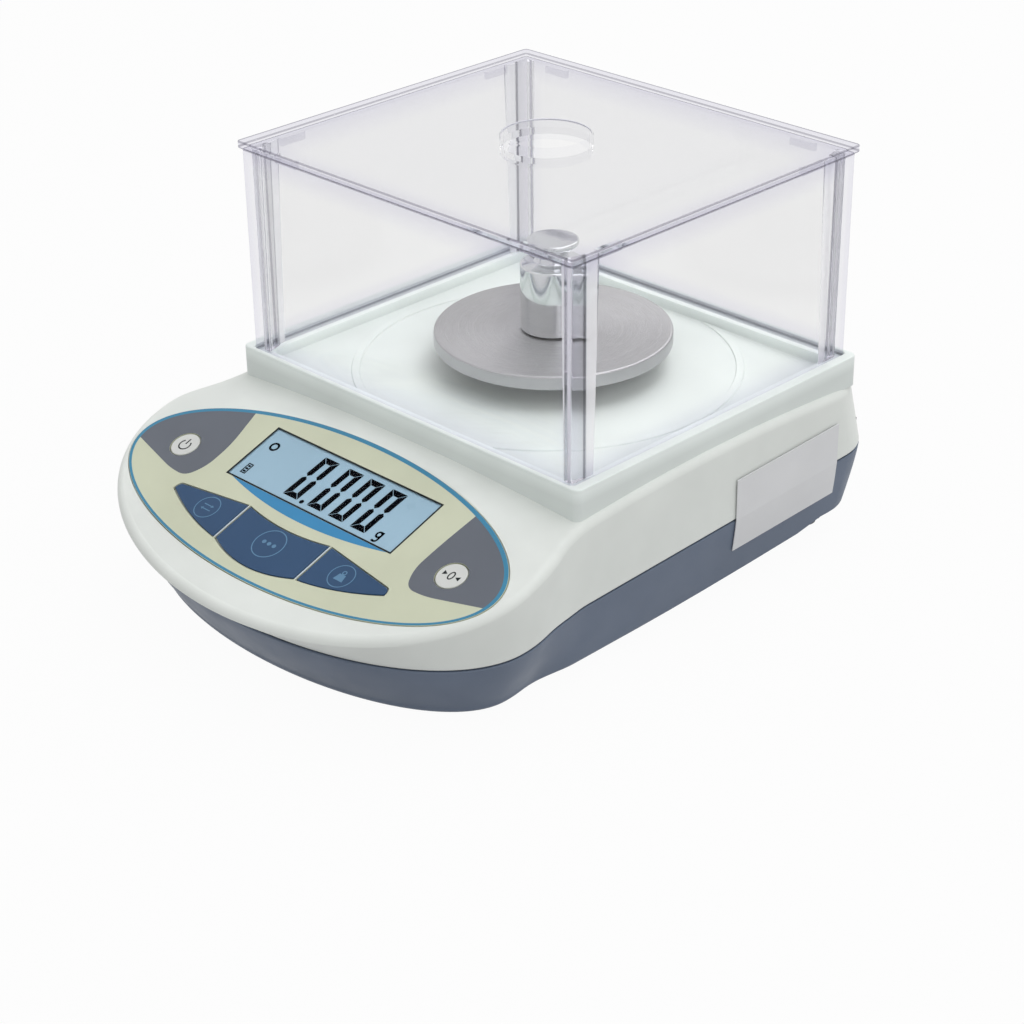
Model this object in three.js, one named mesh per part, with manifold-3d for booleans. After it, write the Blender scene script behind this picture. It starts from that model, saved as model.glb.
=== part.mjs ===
// A small laboratory balance with a clear windshield, in millimetres, +Z up, the keypad towards -Y.
// The origin is the middle of the footprint, on the surface that the balance stands on.
import * as THREE from 'three';
import { mergeVertices } from 'three/addons/utils/BufferGeometryUtils.js';
import Module from 'manifold-3d';

const wasm = await Module();
wasm.setup();

// Clearances and shared values
const seatGap = 0.3;
const overrun = 1;
const roundSteps = 24;
const smallRoundSteps = 12;
const largeRoundSteps = 40;
const wall = 2.6;

// Plan of the body: the parting seam first, then how the shoulder and the base differ from it
const bodyHalfWidth = 80.5;
const bodyRearY = 116;
const bodyCornerRadius = 20.5;
const noseBulge = 4.7;
const noseFrontReach = 45;
const noseRearReach = 60;
const nosePower = 2;
const shoulderInset = 0.3;
const shoulderRearInset = 1.5;
const shoulderCornerGrowth = 6.5;
const shoulderNoseFlare = 2.8;
const shoulderFrontFlare = 6.5;
const baseInset = 2.7;
const baseRearInset = 3.5;
const baseCornerGrowth = 2.5;
const baseNoseInset = 7.7;
const baseFrontInset = 9.1;
const waistSetback = 6.5;
const waistBlend = 8;
const halfPlanSteps = 26;
const turningWeight = 60;

const seamPlan = {
  halfWidth: bodyHalfWidth,
  rearY: bodyRearY,
  cornerRadius: bodyCornerRadius,
  noseHalfWidth: bodyHalfWidth + noseBulge,
  noseFrontReach,
};
const shoulderPlan = {
  halfWidth: seamPlan.halfWidth - shoulderInset,
  rearY: seamPlan.rearY - shoulderRearInset,
  cornerRadius: seamPlan.cornerRadius + shoulderCornerGrowth,
  noseHalfWidth: seamPlan.noseHalfWidth + shoulderNoseFlare,
  noseFrontReach: seamPlan.noseFrontReach + shoulderFrontFlare,
};
const basePlan = {
  halfWidth: seamPlan.halfWidth - baseInset,
  rearY: seamPlan.rearY - baseRearInset,
  cornerRadius: seamPlan.cornerRadius + baseCornerGrowth,
  noseHalfWidth: seamPlan.noseHalfWidth - baseNoseInset,
  noseFrontReach: seamPlan.noseFrontReach - baseFrontInset,
};

// The nose reaches as far forwards of the origin as the body reaches behind it
const noseCentreY = shoulderPlan.noseFrontReach - bodyRearY;
const bodyFrontY = noseCentreY + waistSetback;

// Heights of the body
const baseHeight = 5;
const seamFrontHeight = 24.7;
const seamRearHeight = 32;
const seamFrontY = noseCentreY - noseFrontReach;
const seamGap = 0.6;
const housingTop = 58.1;
const crownDrop = 3;
const shoulderRadius = 3;
const baseEdgeRadius = 2.5;
const baseFlarePower = 1.2;
const lipClearance = 0.75;
const lipThickness = 1.2;
const lipRise = 1.8;
const topBlend = 1;

// Windshield tray, walls and lid
const traySideMargin = 2.5;
const trayRearMargin = 14;
const trayDepth = 136;
const trayWidth = 2 * (bodyHalfWidth - traySideMargin);
const trayCentreY = bodyRearY - trayRearMargin - trayDepth / 2;
const trayCornerRadius = 2.5;
const trayRimRise = 7.9;
const trayLedgeDrop = 1.6;
const trayFloorRise = 2.7;
const trayRimTop = housingTop + trayRimRise;
const trayLedgeTop = trayRimTop - trayLedgeDrop;
const trayFloorTop = housingTop + trayFloorRise;
const trayFloorThickness = 2;
const traySkirtThickness = 2.5;
const traySkirtFoot = housingTop - crownDrop;
const traySkirtGap = 0.5;
const trayLedgeWidth = 4.2;
const trayPostHoleRadius = 8;
const floorRingInset = 3.6;
const floorRingRadius = trayDepth / 2 - floorRingInset;
const floorRingWidth = 3;
const floorRingHeight = 0.4;
const lidSideInset = 2.9;
const lidFrontInset = 1;
const lidWidth = trayWidth - 2 * lidSideInset;
const lidDepth = trayDepth - 2 * lidFrontInset;
const lidThickness = 2.4;
const windshieldHeight = 72.8;
const lidTop = trayRimTop + windshieldHeight;
const lidCornerRadius = 1.5;
const lidHoleRadius = 13.8;
const lidCollarThickness = 1.3;
const lidCollarAbove = 3;
const lidCollarBelow = 1.4;
const lidOverhang = 1;
const lidRibLength = 10;
const lidRibThickness = 1.5;
const lidRibDrop = 2.6;
const lidRibCornerOffset = 11;
const clearWall = 2.5;
const clearWallGap = 0.35;
const wallCornerRadius = 1.5;
const postChamferTop = 9;
const postChamferFoot = 7;

// Keypad plane and its overlay
const keypadSetForward = 9;
const keypadCentreY = noseCentreY - keypadSetForward;
const keypadCentreZ = 46.5;
const keypadTilt = 19.4 * Math.PI / 180;
const overlaySideMargin = 2.3;
const overlayHalfWidth = seamPlan.noseHalfWidth - overlaySideMargin;
const overlayHalfDepth = 32.8;
const overlayThickness = 1;
const overlayProud = 0.2;
const overlayClearance = 0.35;
const overlaySteps = 48;
const boardSteps = 28;
const windowWidth = 77.4;
const windowDepth = 23.6;
const windowCentreAlong = 10.9;
const windowThickness = 0.8;
const panelMargin = 1.3;
const panelThickness = 2.8;
const backlightThickness = 2.2;
const boardThickness = 1.6;
const displayBoardBelow = 7.4;
const displayBoardMargin = 9;

// Keys: two round ones beside the display and three in a row in front of it
const keyThickness = 0.6;
const keyProud = 0.35;
const keyClearance = 0.45;
const keyStemRadius = 2;
const keyStemHoleRadius = 2.8;
const keyTravelRoom = 0.5;
const roundKeyRadius = 5;
const roundKeyInset = 19.9;
const roundKeyAcross = overlayHalfWidth - roundKeyInset;
const roundKeyAlong = 1.5;
const rowKeyGap = 1.4;
const rowInnerHalf = 19.3;
const rowOuterHalf = 49.8;
const rowBackAlong = -8.4;
const rowBackDip = 2;
const rowCornerAlong = -14.6;
const rowTipAlong = -12;
const rowTipInset = 2.2;
const rowFrontAlong = -23.8;
const rowFrontBulge = 4;
const sideKeyFrontBulge = 1.4;
const rowKeyStemAlong = -16;
const sideKeyStemAcross = 32;
const switchSize = 6;
const switchHeight = 2.6;
const switchPlungerRadius = 1.7;
const switchPlungerHeight = 0.6;

// Feet
const rearFootInset = 24.5;
const rearFootX = bodyHalfWidth - rearFootInset;
const rearFootSetback = 22;
const rearFootY = bodyRearY - rearFootSetback;
const frontFootInset = 39.2;
const frontFootX = seamPlan.noseHalfWidth - frontFootInset;
const frontFootY = bodyFrontY;
const knobRadius = 13.5;
const knobBottom = 1.2;
const knobTop = 10.2;
const knobTravelRoom = 2.4;
const fluteCount = 14;
const stepsPerFlute = 3;
const fluteDepth = 0.7;
const studRadius = 2.9;
const studAboveInsert = 0.8;
const padRadius = 10.8;
const padFlatRadius = 6;
const padHeight = 3.2;
const padRecessTop = padHeight + seatGap;
const footRecessClearance = 2;
const footRecessRadius = knobRadius + footRecessClearance;
const footRecessTop = knobTop + knobTravelRoom;
const insertOuterRadius = 5;
const insertLength = 8;
const insertBottom = footRecessTop + wall;
const insertTop = insertBottom + insertLength;
const studTop = insertTop + studAboveInsert;
const threadGap = 0.3;
const footReliefHeight = 4;
const footReliefStepWidth = 4;
const footReliefSink = 0.4;
const footReliefBeyondFoot = 17;
const footReliefInnerX = rearFootX - footReliefBeyondFoot;
const footReliefFullAhead = 20;
const footReliefFullY = rearFootY - footReliefFullAhead;
const footReliefMiddleAhead = 44;
const footReliefMiddleY = rearFootY - footReliefMiddleAhead;
const footReliefMiddleInset = 23.5;
const footReliefMiddleX = bodyHalfWidth - footReliefMiddleInset;
const footReliefMiddleShare = 0.8;
const footReliefStartAhead = 130;
const footReliefStartY = rearFootY - footReliefStartAhead;
const footReliefStartInset = 10.5;
const footReliefStartX = bodyHalfWidth - footReliefStartInset;

// Pan, its holder and the weight
const panSetback = 2.8;
const panCentreY = trayCentreY + panSetback;
const panRadius = 40;
const panAboveRim = 7.4;
const panTop = trayRimTop + panAboveRim;
const panEdgeHeight = 5;
const panPlate = 1.4;
const panRimThickness = 1.8;
const panHubRadius = 10;
const panSpigotRadius = 6;
const panHubDrop = 5.9;
const postRadius = 5;
const postFootRadius = 8;
const holderFlangeRadius = 13;
const holderFlangeThickness = 2;
const weightRadius = 10.9;
const weightHeight = 31;
const weightBodyHeight = 23;
const weightNeckRadius = 5.2;
const weightNeckRise = 1.6;
const weightKnobRadius = 8.7;
const weightKnobHeight = 4.5;
const weightKnobRim = 1.6;
const weightEdge = 1;

// Load cell stack, from the floor of the lower housing upwards
const cellWidth = 12.7;
const cellLength = 80;
const cellHoleRadius = 4.6;
const cellHoleSpacing = 14;
const mountingPlateThickness = 2;
const mountingPlateHalfWidth = 16;
const baseBlockHeight = 4;
const cellEndLength = 20;
const spacerHeight = 3;
const carrierThickness = 2.5;
const carrierHalfWidth = 14;
const cellScrewRadius = 2;
const cellScrewHoleRadius = 2.35;
const cellScrewHeadRadius = 3.5;
const cellScrewHeadHeight = 3;
const cellScrewInset = 5;
const cellScrewSpacing = 10;
const stopRadius = 3;
const stopGap = 0.5;

// Main board
const mainBoardHalfWidth = 33;
const mainBoardDepth = 38;
const mainBoardSetback = 14.5;
const mainBoardFrontY = noseCentreY + mainBoardSetback;
const mainBoardRearY = mainBoardFrontY + mainBoardDepth;
const mainBoardRise = 8;
const mainBoardHeight = baseHeight + wall + mainBoardRise;
const boardPostRadius = 3;
const boardPostInset = 5;
const connectorWidth = 12;
const connectorDepth = 6;
const connectorHeight = 6;

// Housing screws
const screwInset = 14.5;
const screwX = bodyHalfWidth - screwInset;
const rearScrewSetback = 57;
const rearScrewY = bodyRearY - rearScrewSetback;
const frontScrewSetback = 38.5;
const frontScrewY = noseCentreY + frontScrewSetback;
const screwBossRadius = 4.6;
const screwBoreRadius = 3.3;
const screwBoreDepth = 12;
const screwBoreTop = baseHeight + screwBoreDepth;
const screwHeadRadius = 2.8;
const screwHeadHeight = 2.4;
const screwShankRadius = 1.45;
const screwHoleRadius = 1.8;
const screwLength = 24;

// Power inlet in the rear right corner
const inletAngle = 16 * Math.PI / 180;
const inletSideInset = 14.2;
const inletRearInset = 1.4;
const inletX = bodyHalfWidth - inletSideInset;
const inletY = bodyRearY - inletRearInset;
const inletWidth = 9.5;
const inletHeight = 8.6;
const inletDepth = 13;
const inletSocketRadius = 3.2;
const inletPinRadius = 1;
const inletSocketDepth = 9.5;
const inletPinSetback = 1;

// Recess of the rear wall
const rearRecessSideInset = 27;
const rearRecessHalfWidth = bodyHalfWidth - rearRecessSideInset;
const rearRecessDepth = 6;
const rearRecessAboveSeam = 14;

// Battery bay in the underside
const bayCentreX = -36;
const bayAheadOfTray = 16;
const bayCentreY = trayCentreY - bayAheadOfTray;
const bayWidth = 28;
const bayLength = 52;
const bayDepth = 19.5;
const bayTop = baseHeight + bayDepth;
const bayWall = 1.5;
const doorLedge = 2;
const doorThickness = 1.6;
const doorGap = 0.35;
const latchWidth = 10;
const latchHeight = 5;
const latchThickness = 1.2;
const tabWidth = 14;
const tabLength = 2;
const snapWidth = 26;
const snapDepth = 13;
const snapHeight = 6;
const snapStudHeight = 2.4;
const leadRadius = 0.8;
const leadSpacing = 5;
const leadSteps = 22;
const leadSides = 6;

// Blank label on the right side
const labelLength = 52;
const labelRearSetback = 26.5;
const labelRearY = bodyRearY - labelRearSetback;
const labelFrontY = labelRearY - labelLength;
const labelBottomBelowSeam = 11.8;
const labelTopAboveSeam = 14.5;
const labelThickness = 0.3;
const labelOffset = 0.45;

// Shares of the way from the origin to the shoulder near the line where the keypad plane ends
const creaseHalfShare = 0.03;
const creaseFallbackShare = 0.93;

// Materials by the part's look
function material(color, roughness, metalness = 0, opacity = 1) {
  return new THREE.MeshStandardMaterial({ color, roughness, metalness, opacity, transparent: opacity < 1 });
}
const warmWhite = material(0xe9ece8, 0.5);
const trayGreen = material(0xdde5df, 0.5);
const blueGrey = material(0x66707c, 0.55);
const clearPlastic = material(0xe8ecf4, 0.08, 0, 0.3);
const satinSteel = material(0xb6b6ba, 0.35, 1);
const brightSteel = material(0xcfcfd2, 0.12, 1);
const cream = material(0xd4d6bc, 0.45);
const navy = material(0x3e567d, 0.4);
const keyCream = material(0xdcdcc8, 0.4);
const displayGlass = material(0xa3bed1, 0.15);
const boardGreen = material(0x2c6b45, 0.6);
const blackPlastic = material(0x151517, 0.4);
const blackRubber = material(0x1b1b1c, 0.8);
const castAluminium = material(0xbfc3c6, 0.4, 0.9);
const brass = material(0xb99a4c, 0.35, 0.9);
const labelWhite = material(0xf2f2f0, 0.6);
const redLead = material(0xa62a22, 0.5);

// From three.js geometry to a solid and back
function toSolid(geometry) {
  const bare = geometry.clone();
  bare.deleteAttribute('normal');
  bare.deleteAttribute('uv');
  const merged = mergeVertices(bare, 1e-4);
  return new wasm.Manifold(new wasm.Mesh({
    numProp: 3,
    vertProperties: new Float32Array(merged.attributes.position.array),
    triVerts: new Uint32Array(merged.index.array),
  }));
}

function toGeometry(solid) {
  const mesh = solid.getMesh();
  const geometry = new THREE.BufferGeometry();
  geometry.setAttribute('position', new THREE.BufferAttribute(new Float32Array(mesh.vertProperties), 3));
  geometry.setIndex(new THREE.BufferAttribute(new Uint32Array(mesh.triVerts), 1));
  return geometry;
}

function join(first, ...others) {
  return others.reduce((sum, solid) => sum.add(solid), first);
}

function cut(first, ...tools) {
  return tools.reduce((left, tool) => left.subtract(tool), first);
}

// Simple solids: a box by its corners, an upright cylinder, a revolved profile, an extruded outline
function block(x0, x1, y0, y1, z0, z1) {
  const geometry = new THREE.BoxGeometry(x1 - x0, y1 - y0, z1 - z0);
  geometry.translate((x0 + x1) / 2, (y0 + y1) / 2, (z0 + z1) / 2);
  return toSolid(geometry);
}

function rod(radius, x, y, z0, z1, steps = roundSteps) {
  const geometry = new THREE.CylinderGeometry(radius, radius, z1 - z0, steps);
  geometry.rotateX(Math.PI / 2);
  geometry.translate(x, y, (z0 + z1) / 2);
  return toSolid(geometry);
}

function revolve(profile, x, y, steps = roundSteps) {
  const geometry = new THREE.LatheGeometry(profile.map(([r, z]) => new THREE.Vector2(r, z)), steps);
  geometry.rotateX(Math.PI / 2);
  geometry.translate(x, y, 0);
  return toSolid(geometry);
}

function extrude(shape, z0, z1, curveSegments = 6) {
  const geometry = new THREE.ExtrudeGeometry(shape, { depth: z1 - z0, bevelEnabled: false, curveSegments });
  geometry.translate(0, 0, z0);
  return toSolid(geometry);
}

function roundedRectangle(width, depth, radius, centreX = 0, centreY = 0) {
  const x = width / 2;
  const y = depth / 2;
  const shape = new THREE.Shape();
  shape.absarc(centreX + x - radius, centreY + y - radius, radius, 0, Math.PI / 2);
  shape.absarc(centreX - x + radius, centreY + y - radius, radius, Math.PI / 2, Math.PI);
  shape.absarc(centreX - x + radius, centreY - y + radius, radius, Math.PI, Math.PI * 1.5);
  shape.absarc(centreX + x - radius, centreY - y + radius, radius, Math.PI * 1.5, Math.PI * 2);
  return shape;
}

// Two values blended to the smaller one over a width
function smoothMin(a, b, width) {
  const near = Math.max(width - Math.abs(a - b), 0) / width;
  return Math.min(a, b) - near * near * width / 4;
}

// The plan outline: a rounded rectangle joined to a rounded nose with a soft waist
function planDistance(plan, x, y) {
  const r = plan.cornerRadius;
  const dx = Math.abs(x) - plan.halfWidth + r;
  const dy = Math.abs(y - (bodyFrontY + plan.rearY) / 2) - (plan.rearY - bodyFrontY) / 2 + r;
  const body = Math.hypot(Math.max(dx, 0), Math.max(dy, 0)) + Math.min(Math.max(dx, dy), 0) - r;
  const reach = y < noseCentreY ? plan.noseFrontReach : noseRearReach;
  const across = Math.abs(x / plan.noseHalfWidth) ** nosePower;
  const along = Math.abs((y - noseCentreY) / reach) ** nosePower;
  const nose = ((across + along) ** (1 / nosePower) - 1) * plan.noseHalfWidth;
  return smoothMin(body, nose, waistBlend);
}

function planRadius(plan, angle) {
  let inside = 0;
  let outside = plan.rearY + plan.halfWidth + plan.noseHalfWidth;
  for (let step = 0; step < 40; step += 1) {
    const middle = (inside + outside) / 2;
    if (planDistance(plan, middle * Math.cos(angle), middle * Math.sin(angle)) < 0) inside = middle;
    else outside = middle;
  }
  return inside;
}

// Directions from the origin that space the outline points, closer together where it turns
function planAngles() {
  const samples = 600;
  const points = [];
  for (let i = 0; i <= samples; i += 1) {
    const angle = -Math.PI / 2 + Math.PI * i / samples;
    const r = planRadius(seamPlan, angle);
    points.push({ angle, x: r * Math.cos(angle), y: r * Math.sin(angle) });
  }
  const reach = [0];
  for (let i = 1; i <= samples; i += 1) {
    const last = points[i - 1];
    const before = points[Math.max(i - 2, 0)];
    const here = points[i];
    const length = Math.hypot(here.x - last.x, here.y - last.y);
    const cross = (last.x - before.x) * (here.y - last.y) - (last.y - before.y) * (here.x - last.x);
    const dot = (last.x - before.x) * (here.x - last.x) + (last.y - before.y) * (here.y - last.y);
    const turn = i > 1 ? Math.abs(Math.atan2(cross, dot)) : 0;
    reach.push(reach[i - 1] + length + turningWeight * turn);
  }
  const angles = [];
  for (let k = 0; k <= halfPlanSteps; k += 1) {
    const target = reach[samples] * k / halfPlanSteps;
    let i = 1;
    while (i < samples && reach[i] < target) i += 1;
    const part = (target - reach[i - 1]) / (reach[i] - reach[i - 1]);
    angles.push(points[i - 1].angle + (points[i].angle - points[i - 1].angle) * Math.min(part, 1));
  }
  for (let k = halfPlanSteps - 1; k > 0; k -= 1) angles.push(Math.PI - angles[k]);
  return angles;
}
const angles = planAngles();

// One ring of outline points at a plan, moved inwards along its own normals
function planRing(plan, inset = 0) {
  const ring = angles.map((angle) => {
    const r = planRadius(plan, angle);
    return [r * Math.cos(angle), r * Math.sin(angle)];
  });
  return ring.map(([x, y], i) => {
    const last = ring[(i + ring.length - 1) % ring.length];
    const next = ring[(i + 1) % ring.length];
    const tx = next[0] - last[0];
    const ty = next[1] - last[1];
    const length = Math.hypot(tx, ty);
    return [x - inset * ty / length, y + inset * tx / length];
  });
}

function blendPlan(from, to, share) {
  const plan = {};
  for (const key of Object.keys(from)) plan[key] = from[key] + (to[key] - from[key]) * share;
  return plan;
}

// Surface heights over the plan
function seamHeight(y) {
  const share = (y - seamFrontY) / (seamPlan.rearY - seamFrontY);
  return seamFrontHeight + (seamRearHeight - seamFrontHeight) * share;
}

function crownHeight(x, y) {
  const spread = (2 * x / trayWidth) ** 2 + (2 * (y - trayCentreY) / trayDepth) ** 2;
  return housingTop - crownDrop * Math.max(0, spread - 1);
}

function keypadHeight(y) {
  return keypadCentreZ + (y - keypadCentreY) * Math.tan(keypadTilt);
}

function topHeight(x, y) {
  return smoothMin(crownHeight(x, y), keypadHeight(y), topBlend);
}

// A closed skin through rings of equal count, from one pole point to another
function skin(rings, firstPole, lastPole) {
  const count = rings[0].length;
  const positions = [...firstPole];
  for (const ring of rings) for (const point of ring) positions.push(...point);
  positions.push(...lastPole);
  const last = positions.length / 3 - 1;
  const index = [];
  for (let i = 0; i < count; i += 1) {
    const j = (i + 1) % count;
    index.push(0, 1 + i, 1 + j);
    for (let k = 0; k < rings.length - 1; k += 1) {
      const a = 1 + k * count + i;
      const b = 1 + k * count + j;
      index.push(a, a + count, b, b, a + count, b + count);
    }
    const tail = 1 + (rings.length - 1) * count;
    index.push(tail + i, last, tail + j);
  }
  const geometry = new THREE.BufferGeometry();
  geometry.setAttribute('position', new THREE.BufferAttribute(new Float32Array(positions), 3));
  geometry.setIndex(index);
  return toSolid(geometry);
}

// Where each ray from the origin has its rings: one lies on the line where the keypad plane meets
// the crowned top, so that the plane stays flat
function creaseShare([x, y]) {
  const side = (s) => crownHeight(x * s, y * s) - keypadHeight(y * s);
  if (side(1) < 0) return creaseFallbackShare;
  let flat = 0;
  let sloped = 1;
  for (let step = 0; step < 40; step += 1) {
    const middle = (flat + sloped) / 2;
    if (side(middle) < 0) flat = middle;
    else sloped = middle;
  }
  return Math.min(flat, creaseFallbackShare);
}

function topRings(edge, lowering) {
  const crease = edge.map(creaseShare);
  const spots = [
    (s) => 1 - (1 - s - creaseHalfShare) / 2,
    (s) => s + creaseHalfShare,
    (s) => s,
    (s) => s - creaseHalfShare,
    (s) => (s - creaseHalfShare) / 2,
  ];
  return spots.map((spot) => edge.map(([x, y], i) => {
    const s = spot(crease[i]);
    return [x * s, y * s, topHeight(x * s, y * s) - lowering];
  }));
}

// The outer rings of the upper housing, from the seam up over the shoulder
const wallShares = [0, 0.5, 1];
const shoulderTurns = [30, 60, 90].map((degrees) => degrees * Math.PI / 180);
function upperOuterRings(lift) {
  const edge = planRing(shoulderPlan, shoulderRadius);
  const walls = wallShares.map((share) => planRing(blendPlan(seamPlan, shoulderPlan, share)).map(([x, y], i) => {
    const low = seamHeight(y);
    const high = topHeight(...edge[i]) - shoulderRadius;
    return [x, y, low + (high - low) * share + lift];
  }));
  const rounds = shoulderTurns.map((turn) => {
    const ring = planRing(shoulderPlan, shoulderRadius * (1 - Math.cos(turn)));
    return ring.map(([x, y], i) => {
      const drop = shoulderRadius * (1 - Math.sin(turn));
      return [x, y, topHeight(...edge[i]) - drop + lift];
    });
  });
  return [...walls, ...rounds, ...topRings(edge, -lift)];
}

function upperOuterForm(lift) {
  const rings = upperOuterRings(lift);
  const floor = rings[0].map(([x, y]) => [x, y, -overrun]);
  return skin([floor, ...rings].reverse(), [0, 0, topHeight(0, 0) + lift], [0, 0, -overrun]);
}

// A frame in the keypad plane: across, along the slope, out of the surface
const keypadFrame = new THREE.Matrix4().makeTranslation(0, keypadCentreY, keypadCentreZ)
  .multiply(new THREE.Matrix4().makeRotationX(keypadTilt));

function toKeypad(solid) {
  return solid.transform([...keypadFrame.elements]);
}

function ellipse(halfWidth, halfDepth, steps = overlaySteps) {
  return new THREE.Shape(new THREE.EllipseCurve(0, 0, halfWidth, halfDepth, 0, Math.PI * 2)
    .getPoints(steps).slice(0, -1));
}

// Outlines of the five keys, in the keypad frame
function middleKeyShape(grow) {
  const x = rowInnerHalf - rowKeyGap / 2 + grow;
  const back = rowBackAlong + grow;
  const front = rowFrontAlong - grow;
  const shape = new THREE.Shape();
  shape.moveTo(-x, back);
  shape.quadraticCurveTo(0, back - rowBackDip * 2, x, back);
  shape.lineTo(x, front);
  shape.quadraticCurveTo(0, front - rowFrontBulge * 2, -x, front);
  shape.closePath();
  return reversed(shape);
}

function sideKeyShape(side, grow) {
  const inner = rowInnerHalf + rowKeyGap / 2 - grow;
  const outer = rowOuterHalf + grow;
  const shape = new THREE.Shape();
  shape.moveTo(side * inner, rowBackAlong + grow);
  shape.lineTo(side * (outer - rowTipInset), rowTipAlong + grow);
  shape.quadraticCurveTo(side * outer, rowTipAlong + grow, side * outer, rowCornerAlong - grow);
  const frontMiddle = (rowCornerAlong + rowFrontAlong) / 2 - grow;
  shape.quadraticCurveTo(side * (inner + outer) / 2, frontMiddle - sideKeyFrontBulge * 2,
    side * inner, rowFrontAlong - grow);
  shape.closePath();
  return reversed(shape);
}

function reversed(shape) {
  const points = shape.getPoints(6);
  const closed = points[0].distanceTo(points[points.length - 1]) < seatGap / 100;
  const open = closed ? points.slice(0, -1) : points;
  return new THREE.Shape(THREE.ShapeUtils.isClockWise(open) ? open.reverse() : open);
}

function roundKeyShape(side, grow) {
  const curve = new THREE.EllipseCurve(side * roundKeyAcross, roundKeyAlong, roundKeyRadius + grow,
    roundKeyRadius + grow, 0, Math.PI * 2);
  return new THREE.Shape(curve.getPoints(smallRoundSteps).slice(0, -1));
}

const keys = [
  { name: 'key_power', shape: (grow) => roundKeyShape(-1, grow), x: -roundKeyAcross, y: roundKeyAlong, look: keyCream },
  { name: 'key_tare', shape: (grow) => roundKeyShape(1, grow), x: roundKeyAcross, y: roundKeyAlong, look: keyCream },
  { name: 'key_left', shape: (grow) => sideKeyShape(-1, grow), x: -sideKeyStemAcross, y: rowKeyStemAlong, look: navy },
  { name: 'key_middle', shape: middleKeyShape, x: 0, y: rowKeyStemAlong, look: navy },
  { name: 'key_right', shape: (grow) => sideKeyShape(1, grow), x: sideKeyStemAcross, y: rowKeyStemAlong, look: navy },
];

const overlayBottom = overlayProud - overlayThickness;
const keypadRecessFloor = overlayBottom - seatGap;
const keyTop = overlayProud + keyProud - seatGap;
const switchTop = -displayBoardBelow + seatGap + switchHeight + switchPlungerHeight;
const windowLow = windowCentreAlong - windowDepth / 2;
const windowHigh = windowCentreAlong + windowDepth / 2;
const panelTop = keypadRecessFloor - seatGap / 3;

function keypadBlock(halfWidth, low, high, bottom, top) {
  return block(-halfWidth, halfWidth, low, high, bottom, top);
}

// Feet places, screw places
const feet = [
  { name: 'front_left', x: -frontFootX, y: frontFootY },
  { name: 'front_right', x: frontFootX, y: frontFootY },
  { name: 'rear_left', x: -rearFootX, y: rearFootY },
  { name: 'rear_right', x: rearFootX, y: rearFootY },
];
const screws = [
  { name: 'front_left', x: -screwX, y: frontScrewY },
  { name: 'front_right', x: screwX, y: frontScrewY },
  { name: 'rear_left', x: -screwX, y: rearScrewY },
  { name: 'rear_right', x: screwX, y: rearScrewY },
];

// The power inlet's own frame: across, into the housing, up
const inletHeightMid = seamHeight(inletY);
const inletFrame = new THREE.Matrix4().makeTranslation(inletX, inletY, inletHeightMid)
  .multiply(new THREE.Matrix4().makeRotationZ(-inletAngle));

function toInlet(solid) {
  return solid.transform([...inletFrame.elements]);
}

function inletTool() {
  return toInlet(block(-inletWidth / 2 - seatGap, inletWidth / 2 + seatGap, -inletDepth - seatGap,
    inletDepth, -inletHeight / 2 - seatGap, inletHeight / 2 + seatGap));
}

// Upper housing: a shell with a keypad seat, a rear recess, screw bosses and cut-outs
function upperHousing() {
  const outer = upperOuterRings(0);
  const innerEdge = planRing(shoulderPlan, shoulderRadius + wall);
  const innerTop = topRings(innerEdge, wall);
  const innerShoulder = planRing(shoulderPlan, wall + shoulderRadius / 3).map(([x, y], i) => {
    return [x, y, topHeight(...innerEdge[i]) - wall - shoulderRadius / 3];
  });
  const innerWall = planRing(shoulderPlan, wall).map(([x, y], i) => {
    return [x, y, topHeight(...innerEdge[i]) - wall - shoulderRadius];
  });
  const innerSeam = planRing(seamPlan, wall).map(([x, y]) => [x, y, seamHeight(y)]);
  const innerEdgeRing = innerEdge.map(([x, y]) => [x, y, topHeight(x, y) - wall]);
  const inner = [innerSeam, innerWall, innerShoulder, innerEdgeRing, ...innerTop];
  const rings = [...outer].reverse().concat(inner);
  let body = skin(rings, [0, 0, topHeight(0, 0)], [0, 0, topHeight(0, 0) - wall]);

  const recessY = seamPlan.rearY - rearRecessDepth;
  const recessTop = seamRearHeight + rearRecessAboveSeam;
  const backing = block(-rearRecessHalfWidth - wall, rearRecessHalfWidth + wall, recessY - wall,
    shoulderPlan.rearY - wall / 2, seamHeight(recessY - wall), recessTop + wall);
  const recess = block(-rearRecessHalfWidth, rearRecessHalfWidth, recessY, seamPlan.rearY + overrun,
    baseHeight, recessTop);
  body = cut(join(body, backing), recess);

  for (const { x, y } of screws) {
    const top = crownHeight(x, y) - wall / 2;
    body = body.add(rod(screwBossRadius, x, y, seamHeight(y) + seamGap, top, smallRoundSteps));
    body = body.subtract(rod(screwHoleRadius, x, y, baseHeight, screwBoreTop + screwLength + seatGap, smallRoundSteps));
  }

  const seat = extrude(ellipse(overlayHalfWidth + overlayClearance, overlayHalfDepth + overlayClearance),
    keypadRecessFloor, wall);
  const display = keypadBlock(windowWidth / 2 + panelMargin + seatGap, windowLow - panelMargin - seatGap,
    windowHigh + panelMargin + seatGap, -displayBoardBelow, wall);
  const stemHoles = keys.map(({ x, y }) => rod(keyStemHoleRadius, x, y, -displayBoardBelow, wall, smallRoundSteps));
  body = cut(body, ...[seat, display, ...stemHoles].map(toKeypad));
  body = cut(body, rod(trayPostHoleRadius, 0, panCentreY, housingTop - wall - overrun, housingTop + overrun));
  return cut(body, inletTool());
}

// Lower housing: a tray-like shell with foot recesses, bosses, a battery bay and a rising side edge
const floorTop = baseHeight + wall;
const baseLevelShares = [0, 0.33, 0.66, 1];
const baseTurns = [45, 90].map((degrees) => degrees * Math.PI / 180);
const lipInset = wall + lipClearance;

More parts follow.
